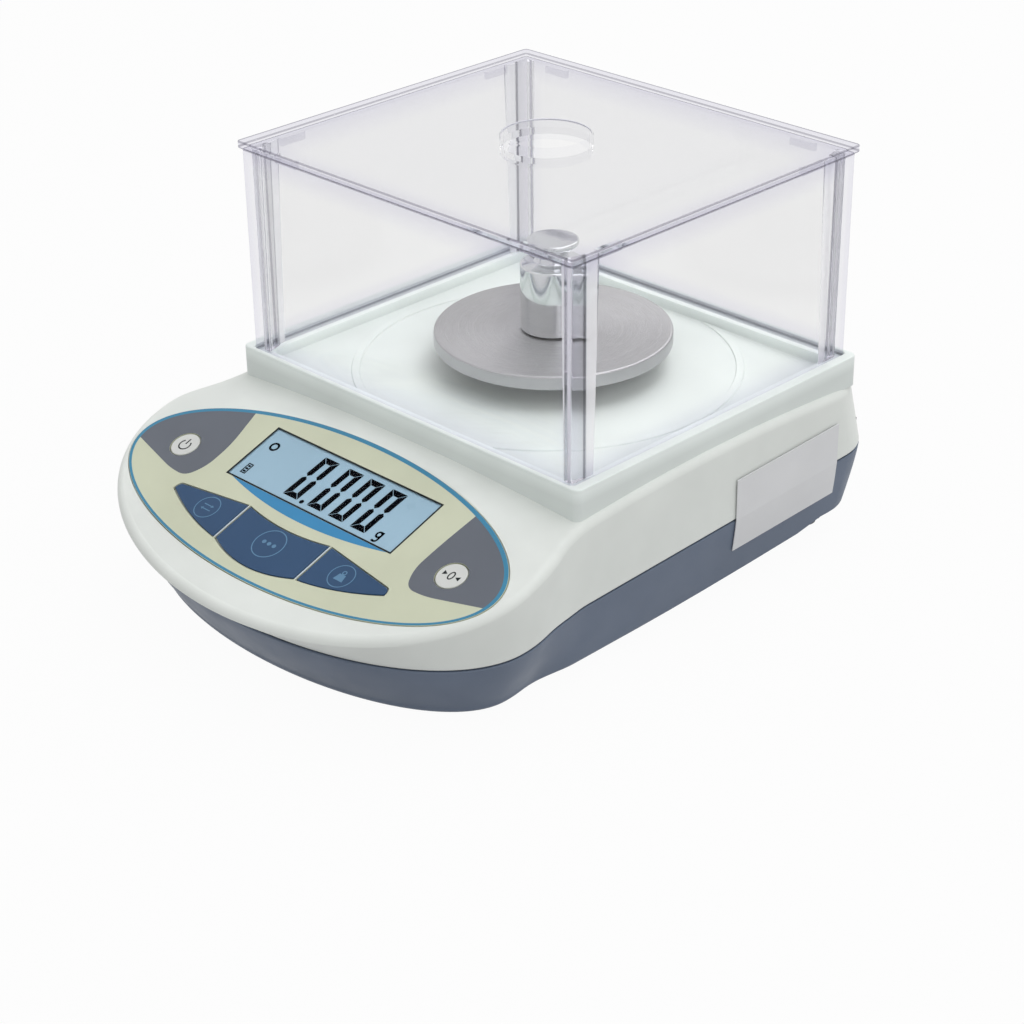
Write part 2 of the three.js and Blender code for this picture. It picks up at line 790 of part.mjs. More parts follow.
function lowerLevel(share) {
  return blendPlan(seamPlan, basePlan, share ** baseFlarePower);
}

function lowerHousing() {
  const bottom = baseHeight + baseEdgeRadius;
  const outer = baseLevelShares.map((share) => planRing(lowerLevel(share)).map(([x, y]) => {
    const top = seamHeight(y) - seamGap;
    return [x, y, top + (bottom - top) * share];
  }));
  const rounds = baseTurns.map((turn) => planRing(basePlan, baseEdgeRadius * (1 - Math.cos(turn)))
    .map(([x, y]) => [x, y, bottom - baseEdgeRadius * Math.sin(turn)]));
  const innerFoot = planRing(basePlan, wall + baseEdgeRadius).map(([x, y]) => [x, y, floorTop]);
  const innerWall = planRing(lowerLevel(baseLevelShares[1]), wall + lipThickness).map(([x, y]) => {
    const top = seamHeight(y) - seamGap;
    return [x, y, top + (bottom - top) * baseLevelShares[1]];
  });
  const lipInner = planRing(seamPlan, lipInset + lipThickness).map(([x, y]) => [x, y, seamHeight(y) + lipRise]);
  const lipOuter = planRing(seamPlan, lipInset).map(([x, y]) => [x, y, seamHeight(y) + lipRise]);
  const lipFoot = planRing(seamPlan, lipInset).map(([x, y]) => [x, y, seamHeight(y) - seamGap]);
  const rings = [innerFoot, innerWall, lipInner, lipOuter, lipFoot, ...outer, ...rounds];
  let body = skin(rings, [0, 0, floorTop], [0, 0, baseHeight]);

  const recessY = seamPlan.rearY - rearRecessDepth;
  const backing = block(-rearRecessHalfWidth - wall, rearRecessHalfWidth + wall, recessY - wall,
    basePlan.rearY - wall, baseHeight + baseEdgeRadius, seamHeight(recessY - wall) - seamGap);
  const form = skin([...outer, ...rounds], [0, 0, seamHeight(0) - seamGap], [0, 0, baseHeight]);
  const raisedFloor = join(footRelief(-1, wall), footRelief(1, wall)).intersect(form);
  body = join(body, backing, raisedFloor);

  for (const { x, y } of feet) {
    body = body.add(rod(footRecessRadius + wall, x, y, floorTop - overrun, footRecessTop + wall));
    body = body.add(rod(insertOuterRadius + wall, x, y, footRecessTop, insertTop, smallRoundSteps));
  }
  for (const { x, y } of screws) {
    body = body.add(rod(screwBossRadius, x, y, floorTop - overrun, seamHeight(y) - seatGap, smallRoundSteps));
  }
  for (const side of [-1, 1]) {
    for (const y of [mainBoardFrontY + boardPostInset, mainBoardRearY - boardPostInset]) {
      const x = side * (mainBoardHalfWidth - boardPostInset);
      body = body.add(rod(boardPostRadius, x, y, floorTop - overrun, mainBoardHeight - seatGap, smallRoundSteps));
    }
  }
  const bayX = bayWidth / 2;
  const bayY = bayLength / 2;
  body = body.add(block(bayCentreX - bayX - bayWall, bayCentreX + bayX + bayWall, bayCentreY - bayY - bayWall,
    bayCentreY + bayY + bayWall, floorTop - overrun, bayTop + bayWall));
  return cut(body, ...lowerCuts());
}

// The raised underside round the rear feet, with an S-shaped step that runs outwards towards the front
const footReliefSections = [
  { y: seamPlan.rearY + overrun, inner: footReliefInnerX, share: 1 },
  { y: footReliefFullY, inner: footReliefInnerX, share: 1 },
  { y: footReliefMiddleY, inner: footReliefMiddleX, share: footReliefMiddleShare },
  { y: footReliefStartY, inner: footReliefStartX, share: 0 },
];

function footRelief(side, lift) {
  const outer = seamPlan.noseHalfWidth + overrun;
  const step = footReliefStepWidth;
  const shape = new THREE.Shape();
  shape.moveTo(0, -1);
  shape.lineTo(0, 0);
  shape.bezierCurveTo(step / 2, 0, step / 2, 1, step, 1);
  shape.lineTo(outer, 1);
  shape.lineTo(outer, -1);
  const last = footReliefSections.length - 1;
  const geometry = new THREE.ExtrudeGeometry(reversed(shape), { depth: last, steps: last, bevelEnabled: false });
  const position = geometry.attributes.position;
  for (let i = 0; i < position.count; i += 1) {
    const { y, inner, share } = footReliefSections[Math.round(position.getZ(i))];
    const height = position.getY(i);
    const rise = height > 0 ? height * share * (footReliefHeight + footReliefSink) : height * overrun;
    position.setXYZ(i, inner + position.getX(i), y, baseHeight - footReliefSink + rise + lift);
  }
  const relief = toSolid(geometry);
  return side > 0 ? relief : relief.mirror([1, 0, 0]);
}

function lowerCuts() {
  const cuts = [];
  const recessY = seamPlan.rearY - rearRecessDepth;
  cuts.push(block(-rearRecessHalfWidth, rearRecessHalfWidth, recessY, seamPlan.rearY + overrun,
    -overrun, seamRearHeight + lipRise + overrun));
  cuts.push(block(-rearRecessHalfWidth - wall - lipClearance, rearRecessHalfWidth + wall + lipClearance,
    recessY - wall - lipClearance, seamPlan.rearY + overrun, seamRearHeight - seamGap, seamRearHeight + lipRise + overrun));
  cuts.push(footRelief(-1, 0), footRelief(1, 0));
  for (const { x, y } of feet) {
    cuts.push(rod(footRecessRadius, x, y, -overrun, footRecessTop));
    cuts.push(rod(studRadius + threadGap + seatGap, x, y, -overrun, insertTop + overrun, smallRoundSteps));
    cuts.push(rod(insertOuterRadius + seatGap, x, y, insertBottom - seatGap, insertTop + overrun, smallRoundSteps));
  }
  for (const { x, y } of screws) {
    cuts.push(rod(screwBoreRadius, x, y, -overrun, screwBoreTop, smallRoundSteps));
    cuts.push(rod(screwHoleRadius, x, y, -overrun, seamRearHeight + overrun, smallRoundSteps));
  }
  const bayX = bayWidth / 2;
  const bayY = bayLength / 2;
  cuts.push(block(bayCentreX - bayX, bayCentreX + bayX, bayCentreY - bayY, bayCentreY + bayY, -overrun, bayTop));
  const ledge = doorLedge + doorGap;
  cuts.push(block(bayCentreX - bayX - ledge, bayCentreX + bayX + ledge, bayCentreY - bayY - ledge,
    bayCentreY + bayY + ledge, -overrun, baseHeight + doorThickness + doorGap));
  const latchX = latchWidth / 2 + doorGap * 2;
  cuts.push(block(bayCentreX - latchX, bayCentreX + latchX, bayCentreY + bayY - overrun,
    bayCentreY + bayY + ledge + latchThickness + doorGap, -overrun, baseHeight + latchHeight + doorThickness));
  const tabX = tabWidth / 2 + doorGap;
  cuts.push(block(bayCentreX - tabX, bayCentreX + tabX, bayCentreY - bayY - ledge - tabLength,
    bayCentreY - bayY, -overrun, baseHeight + doorThickness + doorGap));
  for (const side of [-1, 1]) {
    const x = bayCentreX + side * leadSpacing / 2;
    cuts.push(rod(leadRadius * 2, x, leadHoleY, bayTop - overrun, bayTop + bayWall + overrun, smallRoundSteps));
  }
  cuts.push(inletTool());
  return cuts;
}

// Battery door: a plate with a latch clip at its rear end and a tab at its front end
function batteryDoor() {
  const x = bayWidth / 2 + doorLedge;
  const y = bayLength / 2 + doorLedge;
  const top = baseHeight + doorThickness;
  const plate = block(bayCentreX - x, bayCentreX + x, bayCentreY - y, bayCentreY + y, baseHeight, top);
  const tab = block(bayCentreX - tabWidth / 2, bayCentreX + tabWidth / 2, bayCentreY - y - tabLength + doorGap,
    bayCentreY - y + overrun, baseHeight, top);
  const latchRoot = bayCentreY + bayLength / 2 - overrun - doorGap;
  const latch = block(bayCentreX - latchWidth / 2, bayCentreX + latchWidth / 2, latchRoot - latchThickness,
    latchRoot, baseHeight + doorThickness / 2, top + latchHeight - doorGap);
  const hook = block(bayCentreX - latchWidth / 2, bayCentreX + latchWidth / 2, latchRoot - latchThickness,
    latchRoot + latchThickness / 2, top + latchHeight / 2, top + latchHeight / 2 + latchThickness);
  return join(plate, tab, latch, hook);
}

const snapY = bayCentreY + bayLength / 2 - snapWidth / 2 - 3 * overrun;
const leadHoleY = bayCentreY - bayLength / 2 + 2 * snapHeight;

function batterySnap() {
  const shape = roundedRectangle(snapDepth, snapWidth, snapDepth / 2 - seatGap, bayCentreX, snapY);
  const base = extrude(shape, bayTop - seatGap - snapHeight, bayTop - seatGap);
  const studs = [-1, 1].map((side) => rod(snapDepth / 4, bayCentreX, snapY + side * snapWidth / 4,
    bayTop - seatGap - snapHeight - snapStudHeight, bayTop - seatGap - snapHeight / 2, smallRoundSteps));
  return join(base, ...studs);
}

// A lead from the snap up through the bay's roof and forwards to the connector on the main board
function lead(side) {
  const x = bayCentreX + side * leadSpacing / 2;
  const start = snapY - snapWidth / 2 - seatGap;
  const low = bayTop - seatGap - snapHeight / 2;
  const over = bayTop + bayWall + leadRadius * 3;
  const drop = mainBoardHeight + boardThickness + connectorHeight / 2;
  const endY = mainBoardRearY - connectorDepth + leadRadius;
  const endX = -mainBoardHalfWidth + connectorWidth + side * leadSpacing / 2;
  const route = new THREE.CatmullRomCurve3([
    new THREE.Vector3(x, start, low),
    new THREE.Vector3(x, leadHoleY + leadSpacing / 2, low),
    new THREE.Vector3(x, leadHoleY, bayTop - leadRadius),
    new THREE.Vector3(x, leadHoleY, bayTop + bayWall),
    new THREE.Vector3(x, leadHoleY - leadSpacing / 2, over),
    new THREE.Vector3((x + endX) / 2, (leadHoleY + mainBoardRearY) / 2, over + leadRadius),
    new THREE.Vector3(endX, mainBoardRearY, over),
    new THREE.Vector3(endX, endY, drop + connectorHeight / 2 + leadRadius),
  ]);
  const section = new THREE.Shape(new THREE.EllipseCurve(0, 0, leadRadius, leadRadius, 0, Math.PI * 2)
    .getPoints(leadSides).slice(0, -1));
  return toSolid(new THREE.ExtrudeGeometry(section, { steps: leadSteps, extrudePath: route, bevelEnabled: false }));
}

// Windshield tray: rim, ledge for the clear walls, floor with a raised ring, skirt over the crown
function windshieldTray() {
  const plan = (width, depth, shrink, radius) => roundedRectangle(width - shrink * 2, depth - shrink * 2,
    radius, 0, trayCentreY);
  const outer = extrude(plan(trayWidth, trayDepth, 0, trayCornerRadius), traySkirtFoot, trayRimTop);
  const ledge = extrude(plan(wallsWidth, wallsDepth, -clearWallGap, wallCornerRadius + clearWallGap), trayLedgeTop,
    trayRimTop + overrun);
  const floor = extrude(plan(wallsWidth, wallsDepth, trayLedgeWidth, trayCornerRadius), trayFloorTop,
    trayRimTop + overrun);
  const under = extrude(plan(trayWidth, trayDepth, traySkirtThickness, trayCornerRadius / 2), 0,
    trayFloorTop - trayFloorThickness);
  const post = rod(trayPostHoleRadius, 0, panCentreY, 0, trayRimTop);
  const ringInner = floorRingRadius - floorRingWidth / 2;
  const ringOuter = floorRingRadius + floorRingWidth / 2;
  const ringTop = trayFloorTop + floorRingHeight;
  const ringLow = trayFloorTop - floorRingHeight;
  const ring = revolve([[ringInner, ringLow], [ringOuter, ringLow], [ringOuter, ringTop], [ringInner, ringTop],
    [ringInner, ringLow]], 0, trayCentreY, largeRoundSteps)
    .intersect(extrude(plan(wallsWidth, wallsDepth, trayLedgeWidth - seatGap, trayCornerRadius), ringLow - overrun,
      ringTop + overrun));
  return join(cut(outer, ledge, floor, under, post, upperOuterForm(traySkirtGap)), ring);
}

// Windshield walls: one clear moulding, its corners filled to posts that widen towards the top
const wallsWidth = lidWidth - lidOverhang * 2;
const wallsDepth = lidDepth - lidOverhang * 2;
const wallsFoot = trayLedgeTop + seatGap;
const wallsTop = lidTop - lidThickness - seatGap;

function chamferedRing(width, depth, chamfer, z) {
  const x = width / 2;
  const y = depth / 2;
  return [[x - chamfer, -y], [x, -y + chamfer], [x, y - chamfer], [x - chamfer, y], [-x + chamfer, y],
    [-x, y - chamfer], [-x, -y + chamfer], [-x + chamfer, -y]].map(([px, py]) => [px, py + trayCentreY, z]);
}

function windshieldWalls() {
  const outer = extrude(roundedRectangle(wallsWidth, wallsDepth, wallCornerRadius, 0, trayCentreY), wallsFoot, wallsTop);
  const width = wallsWidth - clearWall * 2;
  const depth = wallsDepth - clearWall * 2;
  const inner = skin([
    chamferedRing(width, depth, postChamferTop, wallsTop + overrun),
    chamferedRing(width, depth, postChamferFoot, wallsFoot - overrun),
  ], [0, trayCentreY, wallsTop + overrun], [0, trayCentreY, wallsFoot - overrun]);
  return cut(outer, inner);
}

// Windshield lid: a plate with a collared round hole and short locating ribs inside the walls
function windshieldLid() {
  const low = lidTop - lidThickness;
  let lid = extrude(roundedRectangle(lidWidth, lidDepth, lidCornerRadius, 0, trayCentreY), low, lidTop);
  const x = wallsWidth / 2 - clearWall - clearWallGap;
  const y = wallsDepth / 2 - clearWall - clearWallGap;
  for (const sx of [-1, 1]) {
    for (const sy of [-1, 1]) {
      const acrossX = [sx * (x - lidRibCornerOffset), sx * (x - lidRibCornerOffset - lidRibLength)].sort((a, b) => a - b);
      const acrossY = [sy * y, sy * (y - lidRibThickness)].sort((a, b) => a - b);
      lid = lid.add(block(...acrossX, acrossY[0] + trayCentreY, acrossY[1] + trayCentreY, low - lidRibDrop, low + overrun));
      const alongX = [sx * x, sx * (x - lidRibThickness)].sort((a, b) => a - b);
      const alongY = [sy * (y - lidRibCornerOffset), sy * (y - lidRibCornerOffset - lidRibLength)].sort((a, b) => a - b);
      lid = lid.add(block(...alongX, alongY[0] + trayCentreY, alongY[1] + trayCentreY, low - lidRibDrop, low + overrun));
    }
  }
  const collarLow = low - lidCollarBelow;
  const collarTop = lidTop + lidCollarAbove;
  lid = lid.add(rod(lidHoleRadius + lidCollarThickness, 0, trayCentreY, collarLow, collarTop, largeRoundSteps));
  return cut(lid, rod(lidHoleRadius, 0, trayCentreY, collarLow - overrun, collarTop + overrun, largeRoundSteps));
}

// Pan: a plate with a rolled rim and a hub that slips over the holder
function weighingPan() {
  const under = panTop - panPlate;
  const rimFoot = panTop - panEdgeHeight;
  const hubFoot = panTop - panHubDrop;
  const edge = panRimThickness / 2;
  const bore = panSpigotRadius + seatGap;
  return revolve([
    [0, panTop], [panRadius - edge, panTop], [panRadius, panTop - edge], [panRadius, rimFoot + edge],
    [panRadius - edge / 2, rimFoot], [panRadius - panRimThickness, rimFoot], [panRadius - panRimThickness, under],
    [panHubRadius, under], [panHubRadius, hubFoot], [bore, hubFoot], [bore, under], [0, under],
  ].reverse(), 0, panCentreY, largeRoundSteps);
}

// Pan holder: a post on the carrier plate, a flange under the hub and a spigot inside it
function panHolder() {
  const top = panTop - panPlate - seatGap;
  const flangeTop = panTop - panHubDrop - seatGap;
  const flangeLow = flangeTop - holderFlangeThickness;
  return revolve([
    [0, carrierTop + seatGap], [postFootRadius, carrierTop + seatGap], [postRadius, carrierTop + postRadius],
    [postRadius, flangeLow - postRadius], [holderFlangeRadius, flangeLow], [holderFlangeRadius, flangeTop],
    [panSpigotRadius, flangeTop], [panSpigotRadius, top], [0, top],
  ], 0, panCentreY);
}

function weight() {
  const foot = panTop + seatGap;
  const shoulder = foot + weightBodyHeight;
  const top = foot + weightHeight;
  const knobLow = top - weightKnobHeight;
  return revolve([
    [0, foot], [weightRadius - weightEdge, foot], [weightRadius, foot + weightEdge],
    [weightRadius, shoulder - weightEdge], [weightRadius - weightEdge, shoulder],
    [weightNeckRadius + weightEdge, shoulder + weightEdge / 2], [weightNeckRadius, shoulder + weightNeckRise],
    [weightNeckRadius, knobLow], [weightKnobRadius, top - weightKnobRim],
    [weightKnobRadius, top - weightEdge / 2], [weightKnobRadius - weightEdge / 2, top], [0, top],
  ], 0, panCentreY);
}

// Load cell stack, each level from the one below
const plateLow = floorTop + seatGap;
const plateTop = plateLow + mountingPlateThickness;
const baseBlockLow = plateTop + seatGap;
const cellLow = baseBlockLow + baseBlockHeight + seatGap;
const cellTop = cellLow + cellWidth;
const spacerLow = cellTop + seatGap;
const carrierLow = spacerLow + spacerHeight + seatGap;
const carrierTop = carrierLow + carrierThickness;
const cellFrontY = panCentreY - cellLength / 2;
const cellRearY = panCentreY + cellLength / 2;
const fixedScrewYs = [cellRearY - cellScrewInset, cellRearY - cellScrewInset - cellScrewSpacing];
const freeScrewYs = [cellFrontY + cellScrewInset, cellFrontY + cellScrewInset + cellScrewSpacing];

function drilled(solid, places, low, high) {
  return places.reduce((left, y) => left.subtract(rod(cellScrewHoleRadius, 0, y, low, high, smallRoundSteps)), solid);
}

function mountingPlate() {
  const plate = block(-mountingPlateHalfWidth, mountingPlateHalfWidth, cellFrontY - overrun, cellRearY + overrun,
    plateLow, plateTop);
  return drilled(plate, fixedScrewYs, plateLow - overrun, plateTop + overrun);
}

function baseBlock() {
  const low = baseBlockLow;
  const solid = block(-cellWidth / 2, cellWidth / 2, cellRearY - cellEndLength, cellRearY, low, low + baseBlockHeight);
  return drilled(solid, fixedScrewYs, low - overrun, cellLow);
}

// The load cell: a bar with two joined cross holes that leave thin bending webs
function loadCell() {
  const bar = block(-cellWidth / 2, cellWidth / 2, cellFrontY, cellRearY, cellLow, cellTop);
  const middleZ = (cellLow + cellTop) / 2;
  const crossHole = (y) => {
    const geometry = new THREE.CylinderGeometry(cellHoleRadius, cellHoleRadius, cellWidth + overrun * 2, roundSteps);
    geometry.rotateZ(Math.PI / 2);
    geometry.translate(0, y, middleZ);
    return toSolid(geometry);
  };
  const half = cellHoleSpacing / 2;
  const slot = block(-cellWidth / 2 - overrun, cellWidth / 2 + overrun, panCentreY - half, panCentreY + half,
    middleZ - cellHoleRadius / 3, middleZ + cellHoleRadius / 3);
  const opened = cut(bar, crossHole(panCentreY - half), crossHole(panCentreY + half), slot);
  const fixed = drilled(opened, fixedScrewYs, cellLow - overrun, cellTop + overrun);
  return drilled(fixed, freeScrewYs, cellTop - cellEndLength / 2, cellTop + overrun);
}

function cellSpacer() {
  const solid = block(-cellWidth / 2, cellWidth / 2, cellFrontY, cellFrontY + cellEndLength, spacerLow, spacerLow + spacerHeight);
  return drilled(solid, freeScrewYs, spacerLow - overrun, carrierLow);
}

function carrierPlate() {
  const plate = block(-carrierHalfWidth, carrierHalfWidth, cellFrontY, panCentreY + carrierHalfWidth, carrierLow,
    carrierTop);
  return drilled(plate, freeScrewYs, carrierLow - overrun, carrierTop + overrun);
}

function cellScrew(y, seat, tip) {
  return revolve([
    [0, tip], [cellScrewRadius, tip], [cellScrewRadius, seat], [cellScrewHeadRadius, seat],
    [cellScrewHeadRadius, seat + cellScrewHeadHeight], [0, seat + cellScrewHeadHeight],
  ], 0, y, smallRoundSteps);
}

function overloadStop() {
  const y = cellFrontY + stopRadius * 2;
  return rod(stopRadius, 0, y, plateTop + seatGap, cellLow - stopGap, smallRoundSteps);
}

// Foot parts
function flutedOutline(radius) {
  const points = [];
  const steps = fluteCount * stepsPerFlute;
  for (let i = 0; i < steps; i += 1) {
    const angle = i / steps * Math.PI * 2;
    const r = radius - fluteDepth * (0.5 - 0.5 * Math.cos(angle * fluteCount)) ** 2;
    points.push(new THREE.Vector2(r * Math.cos(angle), r * Math.sin(angle)));
  }
  return new THREE.Shape(points);
}

function footKnob() {
  const body = extrude(flutedOutline(knobRadius), knobBottom, knobTop);
  const recess = rod(padRadius + seatGap, 0, 0, -overrun, padRecessTop);
  const stud = rod(studRadius, 0, 0, knobTop - overrun, studTop, smallRoundSteps);
  return join(cut(body, recess), stud);
}

function footPad() {
  return revolve([
    [0, 0], [padFlatRadius, 0], [(padFlatRadius + padRadius) / 2, padHeight / 6], [padRadius, padHeight / 2],
    [padRadius, padHeight], [0, padHeight],
  ], 0, 0);
}

function footInsert() {
  return revolve([
    [studRadius + threadGap, insertBottom], [insertOuterRadius, insertBottom], [insertOuterRadius, insertTop],
    [studRadius + threadGap, insertTop], [studRadius + threadGap, insertBottom],
  ], 0, 0, smallRoundSteps);
}

function housingScrew() {
  const seat = screwBoreTop - seatGap;
  return revolve([
    [0, seat - screwHeadHeight], [screwHeadRadius, seat - screwHeadHeight], [screwHeadRadius, seat],
    [screwShankRadius, seat], [screwShankRadius, seat + screwLength], [0, seat + screwLength],
  ], 0, 0, smallRoundSteps);
}

function powerInlet() {
  const socket = new THREE.CylinderGeometry(inletSocketRadius, inletSocketRadius, inletSocketDepth, smallRoundSteps);
  socket.translate(0, overrun / 10 - inletSocketDepth / 2, 0);
  const pin = new THREE.CylinderGeometry(inletPinRadius, inletPinRadius, inletSocketDepth, smallRoundSteps);
  pin.translate(0, -inletSocketDepth / 2 - inletPinSetback, 0);
  const body = block(-inletWidth / 2, inletWidth / 2, -inletDepth, 0, -inletHeight / 2, inletHeight / 2);
  return toInlet(join(cut(body, toSolid(socket)), toSolid(pin)));
}

// The blank label follows the side wall above and below the seam
function sideLabel() {
  const columns = 6;
  const offset = labelOffset;
  const rows = [-labelBottomBelowSeam, -labelBottomBelowSeam / 2, 0, labelTopAboveSeam];
  const surface = (y, above) => {
    const low = baseHeight + baseEdgeRadius;
    const share = above < 0 ? -above / (seamHeight(y) - seamGap - low) : 0;
    const plan = above < 0 ? lowerLevel(share) : seamPlan;
    let inside = 0;
    let outside = plan.noseHalfWidth + plan.halfWidth;
    for (let step = 0; step < 40; step += 1) {
      const middle = (inside + outside) / 2;
      if (planDistance(plan, middle, y) < 0) inside = middle;
      else outside = middle;
    }
    return inside;
  };
  const grid = (extra) => rows.map((above) => Array.from({ length: columns + 1 }, (_, i) => {
    const y = labelFrontY + (labelRearY - labelFrontY) * i / columns;
    return [surface(y, above) + offset + extra, y, seamHeight(y) + above];
  }));
  const inner = grid(0);
  const outer = grid(labelThickness);
  const border = (sheet) => [
    ...sheet[0], ...sheet.slice(1).map((row) => row[columns]),
    ...sheet[rows.length - 1].slice(0, -1).reverse(), ...sheet.slice(1, -1).map((row) => row[0]).reverse(),
  ];
  const sheetPositions = [];
  const index = [];
  const at = (layer, row, column) => (layer * rows.length + row) * (columns + 1) + column;
  for (const sheet of [inner, outer]) for (const row of sheet) for (const p of row) sheetPositions.push(...p);
  for (let row = 0; row < rows.length - 1; row += 1) {
    for (let column = 0; column < columns; column += 1) {
      const [a, b, c, d] = [at(1, row, column), at(1, row, column + 1), at(1, row + 1, column + 1), at(1, row + 1, column)];
      index.push(a, b, c, a, c, d);
      const [e, f, g, h] = [at(0, row, column), at(0, row, column + 1), at(0, row + 1, column + 1), at(0, row + 1, column)];
      index.push(e, g, f, e, h, g);
    }
  }
  const loop = border(inner.map((row, r) => row.map((_, c) => [r, c])));
  for (let i = 0; i < loop.length; i += 1) {
    const [r0, c0] = loop[i];
    const [r1, c1] = loop[(i + 1) % loop.length];
    index.push(at(0, r0, c0), at(0, r1, c1), at(1, r1, c1), at(0, r0, c0), at(1, r1, c1), at(1, r0, c0));
  }
  const geometry = new THREE.BufferGeometry();
  geometry.setAttribute('position', new THREE.BufferAttribute(new Float32Array(sheetPositions), 3));
  geometry.setIndex(index);
  return toSolid(geometry);
}

// Keypad parts, made in the keypad frame
function keypadOverlay() {
  const sheet = extrude(ellipse(overlayHalfWidth, overlayHalfDepth), overlayBottom, overlayProud);
  const openings = keys.map(({ shape }) => extrude(shape(keyClearance), overlayBottom - overrun, overlayProud + overrun));
  const display = keypadBlock(windowWidth / 2 + seatGap, windowLow - seatGap, windowHigh + seatGap,
    overlayBottom - overrun, overlayProud + overrun);
  return cut(sheet, ...openings, display);
}

function keySolid({ shape, x, y }) {
  const plate = extrude(shape(0), keyTop - keyThickness, keyTop);
  const stem = rod(keyStemRadius, x, y, switchTop + keyTravelRoom, keyTop - keyThickness / 2, smallRoundSteps);
  return join(plate, stem);
}

function tactSwitch({ x, y }) {
  const low = -displayBoardBelow + seatGap;
  const half = switchSize / 2;
  const body = block(x - half, x + half, y - half, y + half, low, low + switchHeight);
  return join(body, rod(switchPlungerRadius, x, y, low, switchTop, smallRoundSteps));
}

function displayWindow() {
  return keypadBlock(windowWidth / 2, windowLow, windowHigh, overlayProud - windowThickness, overlayProud);
}

function displayPanel() {
  return keypadBlock(windowWidth / 2 + panelMargin, windowLow - panelMargin, windowHigh + panelMargin,
    panelTop - panelThickness, panelTop);
}

function displayBacklight() {
  const top = panelTop - panelThickness - seatGap;
  return keypadBlock(windowWidth / 2, windowLow, windowHigh, top - backlightThickness, top);
}

function displayBoard() {
  const outline = ellipse(overlayHalfWidth - displayBoardMargin, overlayHalfDepth - displayBoardMargin, boardSteps);
  return extrude(outline, -displayBoardBelow - boardThickness, -displayBoardBelow);
}

function mainBoard() {
  return block(-mainBoardHalfWidth, mainBoardHalfWidth, mainBoardFrontY, mainBoardRearY,
    mainBoardHeight, mainBoardHeight + boardThickness);
}

function boardConnector(x) {
  const low = mainBoardHeight + boardThickness + seatGap;
  return block(x - connectorWidth / 2, x + connectorWidth / 2, mainBoardRearY - connectorDepth - overrun,
    mainBoardRearY - overrun, low, low + connectorHeight - seatGap * 2);
}

// The scene graph: one named mesh for each piece
const group = new THREE.Group();

function place(name, solid, look, x = 0, y = 0) {
  const mesh = new THREE.Mesh(toGeometry(solid), look);
  mesh.name = name;
  mesh.position.set(x, y, 0);
  group.add(mesh);
}

place('upper_housing', upperHousing(), warmWhite);
place('lower_housing', lowerHousing(), blueGrey);
place('windshield_tray', windshieldTray(), trayGreen);
place('windshield_walls', windshieldWalls(), clearPlastic);
place('windshield_lid', windshieldLid(), clearPlastic);
place('weighing_pan', weighingPan(), satinSteel);
place('pan_holder', panHolder(), castAluminium);
place('calibration_weight', weight(), brightSteel);
place('keypad_overlay', toKeypad(keypadOverlay()), cream);
place('display_window', toKeypad(displayWindow()), clearPlastic);
place('display_panel', toKeypad(displayPanel()), displayGlass);
place('display_backlight', toKeypad(displayBacklight()), labelWhite);
place('display_board', toKeypad(displayBoard()), boardGreen);
for (const key of keys) {
  place(key.name, toKeypad(keySolid(key)), key.look);
  place(key.name.replace('key', 'switch'), toKeypad(tactSwitch(key)), blackPlastic);
}
place('main_board', mainBoard(), boardGreen);
place('battery_connector', boardConnector(-mainBoardHalfWidth + connectorWidth), labelWhite);
place('cell_connector', boardConnector(mainBoardHalfWidth - connectorWidth), labelWhite);
place('mounting_plate', mountingPlate(), castAluminium);
place('cell_base_block', baseBlock(), castAluminium);
place('load_cell', loadCell(), castAluminium);
place('cell_spacer', cellSpacer(), castAluminium);
place('carrier_plate', carrierPlate(), castAluminium);
place('overload_stop', overloadStop(), brass);
fixedScrewYs.forEach((y, i) => {
  place(`fixed_end_screw_${i + 1}`, cellScrew(y, cellTop + seatGap, plateLow + seatGap), brightSteel);
});
freeScrewYs.forEach((y, i) => {
  place(`free_end_screw_${i + 1}`, cellScrew(y, carrierTop + seatGap, cellTop - cellEndLength / 3), brightSteel);
});
place('power_inlet', powerInlet(), blackPlastic);
place('battery_door', batteryDoor(), blueGrey);
place('battery_snap', batterySnap(), blackPlastic);
place('battery_lead_red', lead(-1), redLead);
place('battery_lead_black', lead(1), blackPlastic);
place('side_label', sideLabel(), labelWhite);
for (const { name, x, y } of feet) {
  place(`foot_knob_${name}`, footKnob(), blackPlastic, x, y);
  place(`foot_pad_${name}`, footPad(), blackRubber, x, y);
  place(`foot_insert_${name}`, footInsert(), brass, x, y);
}
for (const { name, x, y } of screws) place(`housing_screw_${name}`, housingScrew(), brightSteel, x, y);

export default group;
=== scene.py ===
# A small laboratory balance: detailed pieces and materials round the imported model, in metres.
import math

import bpy
import numpy as np
from mathutils import Matrix, Vector


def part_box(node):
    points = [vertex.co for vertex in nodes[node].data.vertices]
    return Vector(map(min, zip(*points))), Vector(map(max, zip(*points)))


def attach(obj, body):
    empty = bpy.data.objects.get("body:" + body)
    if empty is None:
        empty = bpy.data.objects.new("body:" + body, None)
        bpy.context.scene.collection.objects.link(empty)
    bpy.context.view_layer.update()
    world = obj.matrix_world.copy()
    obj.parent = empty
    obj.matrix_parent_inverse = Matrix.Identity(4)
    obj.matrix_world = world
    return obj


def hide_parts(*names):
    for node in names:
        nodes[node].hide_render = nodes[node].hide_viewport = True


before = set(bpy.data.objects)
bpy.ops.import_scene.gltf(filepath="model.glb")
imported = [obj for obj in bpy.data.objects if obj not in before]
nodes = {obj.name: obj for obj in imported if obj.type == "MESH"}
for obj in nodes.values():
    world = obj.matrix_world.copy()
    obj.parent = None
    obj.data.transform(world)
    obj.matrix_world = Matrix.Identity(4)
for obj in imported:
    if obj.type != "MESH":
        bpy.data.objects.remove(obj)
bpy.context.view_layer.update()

# Named values are in millimetres and turned into metres where a mesh is made
MM = 0.001


